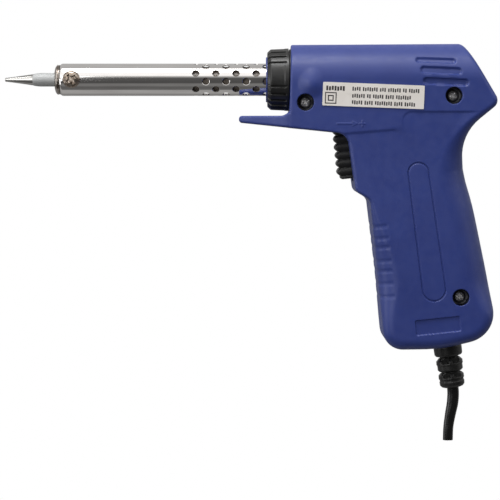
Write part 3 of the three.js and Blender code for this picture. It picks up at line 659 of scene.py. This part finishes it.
# The front lip, from inside to outside: distance behind the tube's end, and radius.
LIP = [(1.2, 6.8), (0.1, 6.68), (0, 6.76), (0.12, 6.95), (0.5, 7.22), (0.85, 7.35), (1.2, 7.4)]
SCREW_HOLE_IN_TUBE = Sizes(x=-99.95, radius=2.2, half_patch=3.2)
VENT = Sizes(radius=1.65, pitch=4.6, first=-43.3, rings=8, around=6, turn=math.radians(22.5))
HOLE_BEVEL = Sizes(width=0.12, depth=0.1)


class PiercedTube:
    """Faces of a thin tube: plain skins, and patches that each hold a round hole."""

    SIDES = 16  # columns across the patch of one hole
    LENGTHWISE = 8
    AROUND = SIDES * VENT.around

    def __init__(self):
        self.points, self.faces, self.signs, self.shared = [], [], [], {}

    def angle(self, column):
        return VENT.turn + (column - self.SIDES / 2) * 2 * math.pi / self.AROUND

    def point(self, x, column, r):
        """The one point at a place on the tube, which its neighbours share."""
        column %= self.AROUND
        key = (round(x, 4), column, r)
        if key not in self.shared:
            self.shared[key] = len(self.points)
            self.points.append(wrap(x, self.angle(column), r))
        return self.shared[key]

    def join(self, a, b, sign):
        """Faces between two lines of points. sign is 1 on the outside, -1 on the inside and 0 on an edge."""
        for a0, a1, b0, b1 in zip(a, a[1:], b, b[1:]):
            quad = [a0, b0, b1, a1]
            self.faces.append(quad[::-1] if sign < 0 else quad)
            self.signs.append(sign)

    def strip(self, profile, sign, first=0, count=AROUND):
        """Skin along a profile of (x, r), over some or all of the columns."""
        columns = range(first, first + count + 1)
        rows = [[self.point(x, column, r) for column in columns] for x, r in profile]
        for a, b in zip(rows, rows[1:]):
            self.join(a, b, sign)

    def pierce(self, x0, x1, first, radius):
        """A patch from x0 to x1, SIDES columns wide from column first, with a bevelled hole in its middle."""
        across, along = range(self.SIDES), np.linspace(x0, x1, self.LENGTHWISE + 1)
        loop = [(x0, first + k) for k in across]
        loop += [(x, first + self.SIDES) for x in along[:-1]]
        loop += [(x1, first + self.SIDES - k) for k in across]
        loop += [(x, first) for x in along[:0:-1]]
        middle_x, middle_angle = (x0 + x1) / 2, self.angle(first + self.SIDES / 2)

        def ring(share, reach, r):
            """New points, a share of the way from the patch's edge to a circle."""
            start = len(self.points)
            for x, column in loop:
                du, dv = x - middle_x, (self.angle(column) - middle_angle) * TUBE.outer
                kept = mix(1, reach / math.hypot(du, dv), share)
                self.points.append(wrap(middle_x + du * kept, middle_angle + dv * kept / TUBE.outer, r))
            return [*range(start, len(self.points)), start]

        lip = ring(1, radius, TUBE.outer - HOLE_BEVEL.depth)
        for r, reach, sign in ((TUBE.outer, radius + HOLE_BEVEL.width, 1), (TUBE.inner, radius, -1)):
            edge = [self.point(x, column, r) for x, column in loop]
            rings = [edge + edge[:1]] + [ring(share, reach, r) for share in (0.35, 0.7, 1)]
            for a, b in zip(rings, rings[1:]):
                self.join(a, b, sign)
            self.join(*((rings[-1], lip) if sign > 0 else (lip, rings[-1])), 0)


def barrel(finish):
    """The chromed tube: plain lengths, eight bands of vent holes and the hole of the tip's screw."""
    tube = PiercedTube()
    front = TUBE.front + LIP[-1][0]
    vents = VENT.first - VENT.pitch / 2
    vents_end = vents + VENT.rings * VENT.pitch
    hole = SCREW_HOLE_IN_TUBE
    before, behind = hole.x - hole.half_patch, hole.x + hole.half_patch
    hole_column = -round(VENT.turn / (2 * math.pi / tube.AROUND))  # faces the side of the photo
    for r, sign in ((TUBE.outer, 1), (TUBE.inner, -1)):
        tube.strip([(front, r), (before, r)], sign)
        tube.strip([(before, r), (behind, r)], sign, hole_column + tube.SIDES, tube.AROUND - tube.SIDES)
        tube.strip([(behind, r), (-80, r), (-60, r), (vents, r)], sign)
        tube.strip([(vents_end, r), (TUBE.rear, r)], sign)
    tube.strip([(TUBE.front + x, r) for x, r in LIP], 0)
    tube.strip([(TUBE.rear, TUBE.outer), (TUBE.rear, TUBE.inner)], 0)
    tube.pierce(before, behind, hole_column, hole.radius)
    for ring in range(VENT.rings):
        x = vents + ring * VENT.pitch
        shift = ring % 2 * tube.SIDES // 2
        for k in range(VENT.around):
            tube.pierce(x, x + VENT.pitch, k * tube.SIDES + shift, VENT.radius)
    made = new_mesh("barrel_tube_skin", tube.points, tube.faces, finish, 35)
    radial_normals(made.data, tube.signs)
    return made


def radial_normals(mesh, signs):
    """Gives the plain skins of a tube exact normals, so that its reflections stay straight."""
    mesh.calc_loop_triangles()
    normals = [tuple(n.vector) for n in mesh.corner_normals]
    for polygon, sign in zip(mesh.polygons, signs):
        if not sign:
            continue
        for loop in polygon.loop_indices:
            co = mesh.vertices[mesh.loops[loop].vertex_index].co
            length = math.hypot(co.y, co.z)
            normals[loop] = (0, sign * co.y / length, sign * co.z / length)
    mesh.normals_split_custom_set(normals)


# The bush in the tube's mouth, as corners (x, r, fillet radius).
FRONT_CAP = [
    (-108.1, 3.35, 0.1), (-108.1, 4.4, 0.6), (-107.7, 5.9, 0.8), (-107.0, 6.75, 0.5), (-106.6, 6.9, 0.2),
    (-106.4, 6.5, 0.1), (-106.3, 6.1, 0.1), (-106.2, 6.6, 0.15), (-105.95, 7.0, 0.2), (-105.7, 6.6, 0.2),
    (-105.3, 6.1, 0.1), (-104.9, 6.45, 0.1), (-93.2, 6.45, 0.2), (-93.2, 3.35, 0.1),
]
TIP = Sizes(front=-131.1, end_radius=0.5, shank=3.1, rear=-62.0)


def front_cap(finish):
    return turned("front_cap_skin", rounded(FRONT_CAP, 12), finish, "joined", 128)


def soldering_tip(finish):
    """A blunt point, a long cone with a rounded shoulder, and a plain shank."""
    front, shank, rear = TIP.front, TIP.shank, TIP.rear
    bend = np.linspace(0, 1.4, 6)
    nose = list(zip(front + 0.45 * (1 - np.cos(bend)), TIP.end_radius + 0.4 * np.sin(bend)))
    cone = [(-128, 1.2), (-124, 1.75), (-120, 2.32), (-118.4, 2.55), (-118.1, 2.62), (-117.6, 2.78)]
    shoulder = [(-116.6, 2.95), (-115.4, 3.06), (-114.3, shank)]
    rod = [(-100, shank), (-80, shank), (rear - 0.3, shank), (rear, shank - 0.3)]
    return turned("soldering_tip_skin", nose + cone + shoulder + rod, finish, "flat", 96)


# ---- screws

# Sizes about a screw's own centre, with the head's outer face towards -Y and its underside at seat.
TIP_SCREW = dict(radius=4.0, height=2.7, seat=-7.5, shank=1.9, length=4.1, socket=2.7, turn=0.6, wear=0.22)
CASING_SCREW = dict(radius=2.6, height=1.9, seat=-9.15, shank=1.35, length=18.5, socket=1.75, wear=0.2)
CASING_SCREW_TURNS = {"front": 0.5, "rear": 1.1, "lower": 0.9}


def cross_head(radius, height, seat, shank, length, socket, turn, wear):
    """The distance function of a screw whose domed head has a worn cross recess."""
    c, s = math.cos(turn), math.sin(turn)
    top, dome_radius = seat - height, 1.7 * radius

    def distance(x, y, z):
        reach = np.hypot(x, z)
        dome = np.sqrt(reach**2 + (y - top - dome_radius) ** 2) - dome_radius
        head = largest(round_max(dome, reach - radius, 0.32 * height), y - seat)
        rod = largest(reach - shank, seat - 0.5 - y, y - seat - length)
        u, v = abs(x * c + z * s), abs(-x * s + z * c)
        deep = np.clip((y - top) / height, 0, 1)
        arm = socket * (1 - 0.45 * deep)
        half = 0.17 * radius * (1 - 0.35 * deep)
        cross = least(largest(u - arm, v - half), largest(v - arm, u - half))
        cross = round_min(cross, np.hypot(u, v) - 0.3 * radius * (1 - 0.5 * deep), 0.1 * radius)
        ragged = wear * (np.sin(5.1 * x + 3.3 * z) * np.sin(4.3 * z - 2.1 * x + 1.0))
        cross = largest(cross + ragged, y - top - 0.62 * height)
        return least(round_max(head, -cross, 0.12), rod)

    return distance


def screw(node, x, z, sizes, step, finish):
    distance = cross_head(**sizes)
    reach = sizes["radius"] + 0.5
    low = (-reach, sizes["seat"] - sizes["height"] - 0.6, -reach)
    high = (reach, sizes["seat"] + sizes["length"] + 0.5, reach)
    return skinned(node + "_skin", distance, low, high, step, finish, 35, 0.1, (x, 0, z))


# ---- boot and cord

# The boot's outline as (distance outwards along its axis, radius), from its seat to its mouth.
BOOT_PROFILE = [
    (-5.4, 0), (-5.4, 7.2), (-3.4, 7.2), (-3.3, 4.8),
    (-1.5, 4.9), (-1.4, 6.45), (0.2, 6.55), (3.5, 6.45), (4.2, 5.9), (4.7, 4.2), (5.0, 4.2), (5.3, 4.9),
    (6.6, 6.1), (8.2, 6.15), (8.4, 5.85), (10.7, 5.85), (11.4, 5.2), (11.6, 4.3), (12.0, 4.3), (12.3, 5.0),
    (13.2, 5.85), (14.9, 5.9), (15.1, 5.55), (16.1, 5.55), (16.3, 5.8), (17.8, 5.7),
    (18.7, 5.0), (19.1, 3.9), (19.1, 0),
]
BOOT_BORE = Sizes(radius=2.65, flare_from=14, flare=0.22)
BOOT_NOTCHES = Sizes(along=((5.1, 7.5), (11.7, 14.2)), across=(0.8, 4.0), floor=3.3)


def boot_distance(x, y, z):
    """The strain relief: a turned body with two pairs of notches in each side, and a flared bore."""
    along, across = boot_axes(x, z)
    reach = np.hypot(across, y)
    body = polygon_distance(np.array(BOOT_PROFILE), along, reach)
    hole = reach - BOOT_BORE.radius - largest(along - BOOT_BORE.flare_from, 0) * BOOT_BORE.flare
    a, w = abs(across), abs(y)
    near, far = BOOT_NOTCHES.across
    for start, end in BOOT_NOTCHES.along:
        notch = largest(start - along, along - end, near - a, a - far, BOOT_NOTCHES.floor - w)
        hole = least(hole, notch)
    return round_max(body, -hole, 0.25)


def boot_point(along):
    """The point on the boot's axis at a distance outwards from the grip's end."""
    return point_at(BOOT, 0, -along)


CORD_RADIUS = 2.7
CORD_END = -167
CORD_TAPER = Sizes(start=147, end=162, share=0.86)
BOOT_STATIONS = (-24, -12, 0, 10, 17, 20.5)  # where the cord runs straight, along the boot's axis
FREE_KNOTS = ((75.7, 0, -149.2), (74.7, 0, -154.8), (73.8, 0, -161.0), (73.6, 0, CORD_END))


def cord_outline(angle):
    """A two-core cord's outline: flattened, with a shallow valley between the cores on each face."""
    valley = sum(math.exp(-(((angle - at) / 0.3) ** 2)) for at in (math.pi * 0.5 + 0.3, math.pi * 1.5 - 0.3))
    return 0.94 + 0.06 * math.cos(2 * angle) - 0.1 * valley


def catmull_rom(knots, lengths, samples):
    """A smooth curve through knots, read at distances along it."""
    slopes = np.gradient(knots, lengths, axis=0)
    i = np.clip(np.searchsorted(lengths, samples, side="right") - 1, 0, len(knots) - 2)
    h = (lengths[i + 1] - lengths[i])[:, None]
    t = (samples - lengths[i])[:, None] / h
    from_start = (2 * t**3 - 3 * t**2 + 1) * knots[i] + (t**3 - 2 * t**2 + t) * slopes[i] * h
    return from_start + (3 * t**2 - 2 * t**3) * knots[i + 1] + (t**3 - t**2) * slopes[i + 1] * h


def cord(finish):
    """One cord from inside the grip to its cut end, with a slight set from being bent."""
    knots = np.array([*map(boot_point, BOOT_STATIONS), *FREE_KNOTS])
    lengths = np.concatenate([[0], np.cumsum(np.linalg.norm(np.diff(knots, axis=0), axis=1))])
    path = catmull_rom(knots, lengths, np.linspace(0, lengths[-1], 110))
    path[-1, 2] = CORD_END
    tangents = path[[*range(1, len(path)), -1]] - path[[0, *range(len(path) - 1)]]
    tangents[-1] = (0, 0, -1)
    sides = 72
    sideways = np.array([0, 1.0, 0])
    points = []
    for centre, tangent in zip(path, tangents):
        forward = np.cross(sideways, tangent / np.linalg.norm(tangent))
        taper = mix(1.0, CORD_TAPER.share, smooth(-centre[2], CORD_TAPER.start, CORD_TAPER.end))
        for angle in circle(sides):
            reach = CORD_RADIUS * cord_outline(angle) * taper
            points.append(centre + reach * (math.cos(angle) * forward + math.sin(angle) * sideways))
    faces = [face[::-1] for face in ring_faces(len(path), sides, "flat")]
    return new_mesh("cord_skin", points, faces, finish, 50)


# ---- materials


def plug(target, inputs):
    """Sets a node's inputs, each from a number, a list of numbers or another node's output."""
    for key, value in inputs.items():
        if isinstance(value, bpy.types.NodeSocket):
            target.id_data.links.new(value, target.inputs[key])
        else:
            target.inputs[key].default_value = value


def node(tree, kind, inputs=None):
    made = tree.nodes.new("ShaderNode" + kind)
    plug(made, inputs or {})
    return made


def maths(tree, operation, *values):
    made = node(tree, "Math", dict(enumerate(values)))
    made.operation = operation
    return made.outputs[0]


def axes_of(tree, coordinates="Object"):
    """The X, Y and Z outputs of a texture coordinate."""
    where = node(tree, "TexCoord").outputs[coordinates]
    return node(tree, "SeparateXYZ", {"Vector": where}).outputs


def material(name):
    made = bpy.data.materials.new(name)
    made.use_nodes = True
    return made, made.node_tree, made.node_tree.nodes["Principled BSDF"]


def srgb(*channels):
    """0 to 255 screen values as linear colour."""
    return tuple((c / 255 / 12.92 if c < 10.3 else ((c / 255 + 0.055) / 1.055) ** 2.4) for c in channels)


def noise(tree, scale, detail=3.0, roughness=0.5, stretch=(1, 1, 1)):
    """A noise texture in the object's own millimetres."""
    where = node(tree, "TexCoord").outputs["Object"]
    scaled = node(tree, "Mapping", {"Vector": where, "Scale": [s / MM for s in stretch]}).outputs["Vector"]
    look = {"Vector": scaled, "Scale": scale, "Detail": detail, "Roughness": roughness}
    return node(tree, "TexNoise", look).outputs["Fac"]


def ramp(tree, source, low, high, at=(0.35, 0.65)):
    """Turns a 0 to 1 value into a blend of two numbers or colours."""
    made = node(tree, "ValToRGB", {"Fac": source})
    for element, place, value in zip(made.color_ramp.elements, at, (low, high)):
        element.position = place
        element.color = (*value, 1) if isinstance(value, tuple) else (value, value, value, 1)
    return made.outputs["Color"]


def bump(tree, source, depth):
    return node(tree, "Bump", {"Height": source, "Distance": depth * MM, "Strength": 1.0}).outputs["Normal"]


def moulded(name, dark, light, roughness, grain, depth):
    """A moulded plastic: cloudy colour, fine grain and an uneven sheen."""
    made, tree, shader = material(name)
    plug(shader, {
        "Base Color": ramp(tree, noise(tree, 0.09, 4), srgb(*dark), srgb(*light)),
        "Roughness": ramp(tree, noise(tree, 0.35, 5), roughness - 0.05, roughness + 0.07),
        "Normal": bump(tree, noise(tree, grain, 2), depth),
    })
    return made


def metal(name, dark, light, roughness, stretch, scale, depth):
    """A metal with stains that change its colour and roughness together, and fine scratches."""
    made, tree, shader = material(name)
    stains = noise(tree, scale, 6, 0.6, stretch)
    plug(shader, {
        "Base Color": ramp(tree, stains, srgb(*dark), srgb(*light)),
        "Roughness": ramp(tree, stains, roughness * 1.35, roughness * 0.8),
        "Metallic": 1.0,
        "Normal": bump(tree, noise(tree, scale * 6, 3, 0.5, stretch), depth),
    })
    return made


def tip_plating():
    """Polished cone and frosted grey shank, with the change just behind the cone."""
    made, tree, shader = material("plated_tip")
    ends = {"From Min": (FACE_X - 118.6) * MM, "From Max": (FACE_X - 117.7) * MM}
    frost = node(tree, "MapRange", {"Value": axes_of(tree)["X"], **ends}).outputs["Result"]
    plug(shader, {
        "Base Color": ramp(tree, frost, srgb(184, 183, 180), srgb(180, 182, 182), (0, 1)),
        "Roughness": ramp(tree, frost, 0.14, 0.55, (0, 1)),
        "Metallic": ramp(tree, frost, 1.0, 0.3, (0, 1)),
        "Normal": bump(tree, maths(tree, "MULTIPLY", frost, noise(tree, 3.0, 5, 0.65)), 0.12),
    })
    return made


def reach_from(tree, u, v, u0, v0):
    """The distance of (u, v) from the point (u0, v0)."""
    du, dv = maths(tree, "SUBTRACT", u, u0), maths(tree, "SUBTRACT", v, v0)
    squares = [maths(tree, "MULTIPLY", d, d) for d in (du, dv)]
    return maths(tree, "SQRT", maths(tree, "ADD", *squares))


def between(tree, value, low, high):
    """1 where a value in metres lies between two in mm, and 0 elsewhere."""
    above = maths(tree, "GREATER_THAN", value, low * MM)
    return maths(tree, "MULTIPLY", above, maths(tree, "LESS_THAN", value, high * MM))


def tint(tree, shader, mask, colour):
    """Lays a colour over the shader's base colour where the mask is 1; the casing uses it only for painted
    shade.
    """
    base = shader.inputs["Base Color"].links[0].from_socket
    layers = {"Fac": mask, "Color1": base, "Color2": (*colour, 1)}
    plug(shader, {"Base Color": node(tree, "MixRGB", layers).outputs["Color"]})


def blue_casing():
    """Blue moulded plastic, with painted shade in the gap behind the collar nut and painted shade inside the
    screw wells.
    """
    made = moulded("blue_casing", (46, 61, 130), (49, 65, 135), 0.42, 6, 0.006)
    tree = made.node_tree
    shader = tree.nodes["Principled BSDF"]
    x, y, z = (axes_of(tree)[axis] for axis in "XYZ")
    # Painted shade: a near-black tint over the casing where it lies behind and under the collar nut, standing
    # for the shadow in that gap.
    near_face = between(tree, x, FACE_X - 1.5, FACE_X + 0.3)
    under_nut = between(tree, reach_from(tree, y, z, 0, 0), -1, NUT_RADII[-1][1])
    tint(tree, shader, maths(tree, "MULTIPLY", near_face, under_nut), (0.002, 0.002, 0.004))
    # Painted shade: a dark blue tint over the walls deep inside each screw well, standing for the shade that
    # light doesn't reach.
    deep = between(tree, y, 1.1 - HALF_WIDTH, 1 - WELL_FLOOR)
    for wx, wz in WELLS.values():
        reach = reach_from(tree, x, z, (FACE_X + wx) * MM, wz * MM)
        inside = between(tree, reach, -1, WELL_RADIUS + 0.1)
        tint(tree, shader, maths(tree, "MULTIPLY", inside, deep), srgb(16, 21, 40))
    return made


# Screen colours where the clouds are dark and light, roughness, scale of the grain, and its depth in mm.
PLASTICS = {
    "black_plastic": ((22, 22, 22), (29, 29, 28), 0.34, 5, 0.008),
    "trigger_black": ((14, 14, 14), (20, 20, 20), 0.46, 5, 0.01),
    "black_rubber": ((19, 19, 19), (25, 25, 25), 0.34, 4, 0.003),
    "cord_sheath": ((17, 17, 17), (23, 23, 23), 0.24, 2, 0.001),
    "ceramic": ((206, 198, 184), (226, 220, 207), 0.75, 3, 0.02),
    "mica": ((96, 88, 80), (132, 122, 112), 0.3, 3, 0.004),
    "blue_wire": ((24, 78, 160), (34, 92, 176), 0.35, 3, 0.004),
    "brown_wire": ((96, 54, 30), (112, 66, 38), 0.35, 3, 0.004),
    "sleeving": ((206, 200, 180), (226, 221, 204), 0.8, 2, 0.06),
    "label": ((240, 234, 227), (248, 243, 238), 0.32, 8, 0.001),
}
# Screen colours, roughness, stretch of the stains along X, Y and Z, their scale, and their depth in mm.
METALS = {
    "chrome": ((224, 221, 219), (238, 236, 234), 0.07, (0.1, 1, 1), 0.5, 0.0006),
    "worn_chrome": ((140, 128, 118), (196, 190, 184), 0.14, (1, 1, 1), 0.6, 0.001),
    "steel": ((104, 88, 74), (184, 172, 160), 0.28, (1, 1, 1), 1.2, 0.01),
    "zinc_plate": ((176, 175, 174), (232, 231, 232), 0.42, (1, 1, 1), 1.6, 0.01),
    "nichrome": ((92, 84, 80), (134, 126, 120), 0.4, (6, 1, 1), 1.5, 0.002),
    "brass": ((180, 140, 62), (214, 178, 96), 0.28, (1, 1, 1), 0.8, 0.002),
}


def cast_materials():
    """Makes every material and gives each CAD node the one that its record names."""
    made = {"blue_casing": blue_casing(), "plated_tip": tip_plating()}
    made |= {name: moulded(name, *look) for name, look in PLASTICS.items()}
    made |= {name: metal(name, *look) for name, look in METALS.items()}
    made["label_ink"], _, ink = material("label_ink")
    plug(ink, {"Base Color": (*srgb(48, 42, 46), 1), "Roughness": 0.5})
    for name, piece in frame["nodes"].items():
        piece.data.materials.clear()
        piece.data.materials.append(made[FINISH[name]])
    return made


# ---- label

LABEL = Sizes(x=37.1, z=-7.55, length=45.8, height=10.6, tilt=math.radians(-2.2), front=-16.87)
LABEL_THICKNESS, INK_HEIGHT = 0.2, 0.03


def plate(name, outlines, front, thickness, finish):
    """Flat prisms on the label's plane; each outline is in the label's own length and height."""
    points, faces = [], []
    for outline in outlines:
        first, count = len(points), len(outline)
        points += [point_at(LABEL, u, v, y) for y in (front, front + thickness) for u, v in outline]
        prism = ring_faces(2, count, "flat")
        faces += [[first + k for k in face] for face in prism]
    return new_mesh(name, points, faces, finish, 30)


def block(u0, u1, v0, v1):
    return [(u0, v0), (u1, v0), (u1, v1), (u0, v1)]


# Rows of strokes: middle height, start, end, half a stroke's height and width, and the first word.
STROKE_ROWS = (
    (2.7, -9.6, 21.4, 0.9, 0.32, 0),
    (-0.45, -9.6, 16.8, 0.9, 0.32, 3),
    (-3.4, -9.6, 18.6, 0.9, 0.32, 5),
    (2.6, -21.4, -12.4, 1.05, 0.44, 1),
)
WORD_LENGTHS = (4, 7, 3, 6, 2, 5, 4, 8)
STROKE_GAP, WORD_GAP = 0.36, 0.7
SQUARES = Sizes(middle=(-19.2, -1.8), halves=((2.6, 0.22), (1.3, 0.24)))  # half a side, half a line's width


def label_marks():
    """Rows of small upright strokes, a heavier row and two nested squares: marks with no wording."""
    marks = []
    for v, u, end, tall, half, word in STROKE_ROWS:
        left = WORD_LENGTHS[word]
        while u < end:
            lift = 0.12 * ((left * 7 + word * 3) % 3 - 1)
            height = tall - abs(lift)
            marks.append(block(u, u + 2 * half, v + lift - height, v + lift + height))
            u += 2 * half + STROKE_GAP
            left -= 1
            if not left:
                word = (word + 1) % len(WORD_LENGTHS)
                left = WORD_LENGTHS[word]
                u += WORD_GAP
    cu, cv = SQUARES.middle
    for reach, half in SQUARES.halves:
        for sign in (-1, 1):
            at = sign * (reach - half)
            marks.append(block(cu - reach, cu + reach, cv + at - half, cv + at + half))
            inner = reach - 2 * half
            marks.append(block(cu + at - half, cu + at + half, cv - inner, cv + inner))
    return marks


# ---- assembly

finish = cast_materials()


def squashed_spring():
    """The spring between the trigger and its switch, put on the handle with a mesh of its own."""
    made = replace(trigger_spring(finish["steel"]), "handle")
    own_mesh(made)


def bending_cord():
    """The cord from inside the grip through its boot to its cut end, in place of the CAD cord pieces, which
    are hidden.
    """
    made = cord(finish["cord_sheath"])
    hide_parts("cord_inner", "cord_tail")
    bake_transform(made)


def printed_label():
    u, v, corner = LABEL.length / 2, LABEL.height / 2, 0.3
    outline = rounded([(a, b, corner) for a, b in block(-u, u, -v, v)], 30)
    card = plate("rating_label_skin", [outline], LABEL.front, LABEL_THICKNESS, finish["label"])
    replace(card, "handle")
    marks = plate("label_marks", label_marks(), LABEL.front - INK_HEIGHT, 0.05, finish["label_ink"])
    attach(marks, "handle")


replace(casing("casing_left_skin", -1, finish["blue_casing"]), "handle")
replace(casing("casing_right_skin", 1, finish["blue_casing"]), "handle")
replace(collar_nut(finish["black_plastic"]), "nut")
low, high = (18, -10, -48), (38, 10, -18)
trigger = skinned("trigger_skin", trigger_distance, low, high, GRID.trigger, finish["trigger_black"])
replace(trigger, "trigger")
squashed_spring()
replace(barrel(finish["chrome"]), "handle")
replace(front_cap(finish["worn_chrome"]), "handle")
replace(soldering_tip(finish["plated_tip"]), "tip")
tip_screw = screw("tip_screw", SCREW_HOLE_IN_TUBE.x, 0, TIP_SCREW, GRID.tip_screw, finish["steel"])
replace(tip_screw, "tip_screw")
for place, (x, z) in WELLS.items():
    name = "casing_screw_" + place
    sizes = dict(CASING_SCREW, turn=CASING_SCREW_TURNS[place])
    replace(screw(name, x, z, sizes, GRID.casing_screw, finish["zinc_plate"]), "handle")
low, high = (62, -8, -143), (84, 8, -115)
boot = skinned("strain_relief_skin", boot_distance, low, high, GRID.boot, finish["black_rubber"])
replace(boot, "handle")
bending_cord()
printed_label()


# ---- stage, lights and camera

# Brightness of what surrounds the object, by the angle round the X axis from -Y upwards.
BANDS = [
    (-180, 0.25), (-128, 0.2), (-112, 0.3), (-84, 0.31), (-74, 0.11), (-54, 0.1), (-44, 0.16), (-32, 0.16),
    (-22, 0.065), (8, 0.075), (20, 0.3), (27, 0.9), (34, 1.0), (82, 1.0), (90, 0.42), (178, 0.42),
]
# Places and targets in metres from the picture's centre, sizes and powers.
LIGHTS = {
    "key": ((-0.15, -0.34, 0.9), (0.05, 0, -0.02), (0.5, 0.4), 6.0),
    "left": ((-0.45, -0.85, 0.12), (0.05, 0, -0.06), (0.6, 0.6), 2.7),
    "front edge": ((-0.8, -0.16, -0.12), (0.05, 0, -0.08), (0.35, 0.35), 1.1),
    "above": ((0.05, 0.4, 0.8), (0.05, 0, 0), (0.5, 0.5), 2.4),
}
CENTRE = Vector((FACE_X * MM - 0.01854, 0, 0))
CAMERA = Sizes(height=-0.025, aim=-0.07841, away=0.82, lens=127.9)


def studio_bands(tree):
    """The colour that the object sees in each direction."""
    axes = axes_of(tree, "Generated")
    angle = maths(tree, "ARCTAN2", axes["Z"], maths(tree, "MULTIPLY", axes["Y"], -1))
    share = node(tree, "MapRange", {"Value": angle, "From Min": -math.pi, "From Max": math.pi})
    bands = node(tree, "ValToRGB", {"Fac": share.outputs["Result"]})
    colours = bands.color_ramp
    colours.interpolation = "EASE"
    colours.elements.remove(colours.elements[1])
    for k, (degrees, level) in enumerate(BANDS):
        place = (degrees + 180) / 360
        element = colours.elements.new(place) if k else colours.elements[0]
        element.position = place
        element.color = (level, level * 0.99, level * 0.98, 1)
    return bands.outputs["Color"]


def choose(tree, share, first, second):
    """The first shader where the share is 0, and the second where it is 1."""
    shaders = {1: first.outputs[0], 2: second.outputs[0]}
    return node(tree, "MixShader", {"Fac": share, **shaders}).outputs["Shader"]


def world_light():
    """A studio of soft bands: the camera sees plain white, and the object sees the bands."""
    world = bpy.data.worlds.new("studio")
    scene.world = world
    world.use_nodes = True
    tree = world.node_tree
    tree.nodes.clear()
    path = node(tree, "LightPath").outputs
    strength = node(tree, "MapRange", {"Value": path["Is Diffuse Ray"], "To Min": 1.25, "To Max": 0.65})
    lit = node(tree, "Background", {"Color": studio_bands(tree), "Strength": strength.outputs["Result"]})
    seen = node(tree, "Background", {"Color": (1, 1, 1, 1), "Strength": 1.0})
    node(tree, "OutputWorld", {"Surface": choose(tree, path["Is Camera Ray"], lit, seen)})


def area_light(name, location, target, size, power):
    data = bpy.data.lights.new(name, "AREA")
    data.shape = "RECTANGLE"
    data.size, data.size_y = size
    data.energy = power
    lamp = new_object(name, data)
    lamp.location = CENTRE + Vector(location)
    lamp.rotation_euler = (Vector(target) - Vector(location)).to_track_quat("-Z", "Y").to_euler()
    return lamp


def floor():
    """A pale floor below the object, plain white to the camera, that the object's surfaces don't see."""
    reach, z = 1.6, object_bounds()[0].z - 0.03
    mesh = bpy.data.meshes.new("floor")
    mesh.from_pydata([(u, v, z) for u, v in block(-reach, reach, -reach, reach)], [], [(0, 1, 2, 3)])
    made = new_object("floor", mesh)
    made.visible_diffuse = False
    made.visible_glossy = False
    paint, tree, shader = material("floor_paint")
    plug(shader, {"Base Color": (0.9, 0.9, 0.9, 1), "Roughness": 0.6})
    glow = node(tree, "Emission", {"Color": (1, 1, 1, 1)})
    seen = node(tree, "LightPath").outputs["Is Camera Ray"]
    plug(tree.nodes["Material Output"], {"Surface": choose(tree, seen, shader, glow)})
    mesh.materials.append(paint)
    made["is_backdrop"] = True


def camera():
    made = new_object("camera", bpy.data.cameras.new("camera"))
    made.location = CENTRE + Vector((0, -CAMERA.away, CAMERA.height))
    down = math.atan2(CAMERA.height - CAMERA.aim, CAMERA.away)
    made.rotation_euler = (math.pi / 2 - down, 0, 0)
    made.data.lens = CAMERA.lens
    made.data.sensor_width = 36
    return made


world_light()
lamps = {name: area_light(name, *look) for name, look in LIGHTS.items()}
lamps["above"].visible_glossy = False
floor()
bpy.context.scene.camera = camera()
scene.view_settings.view_transform = "Standard"

low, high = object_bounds()
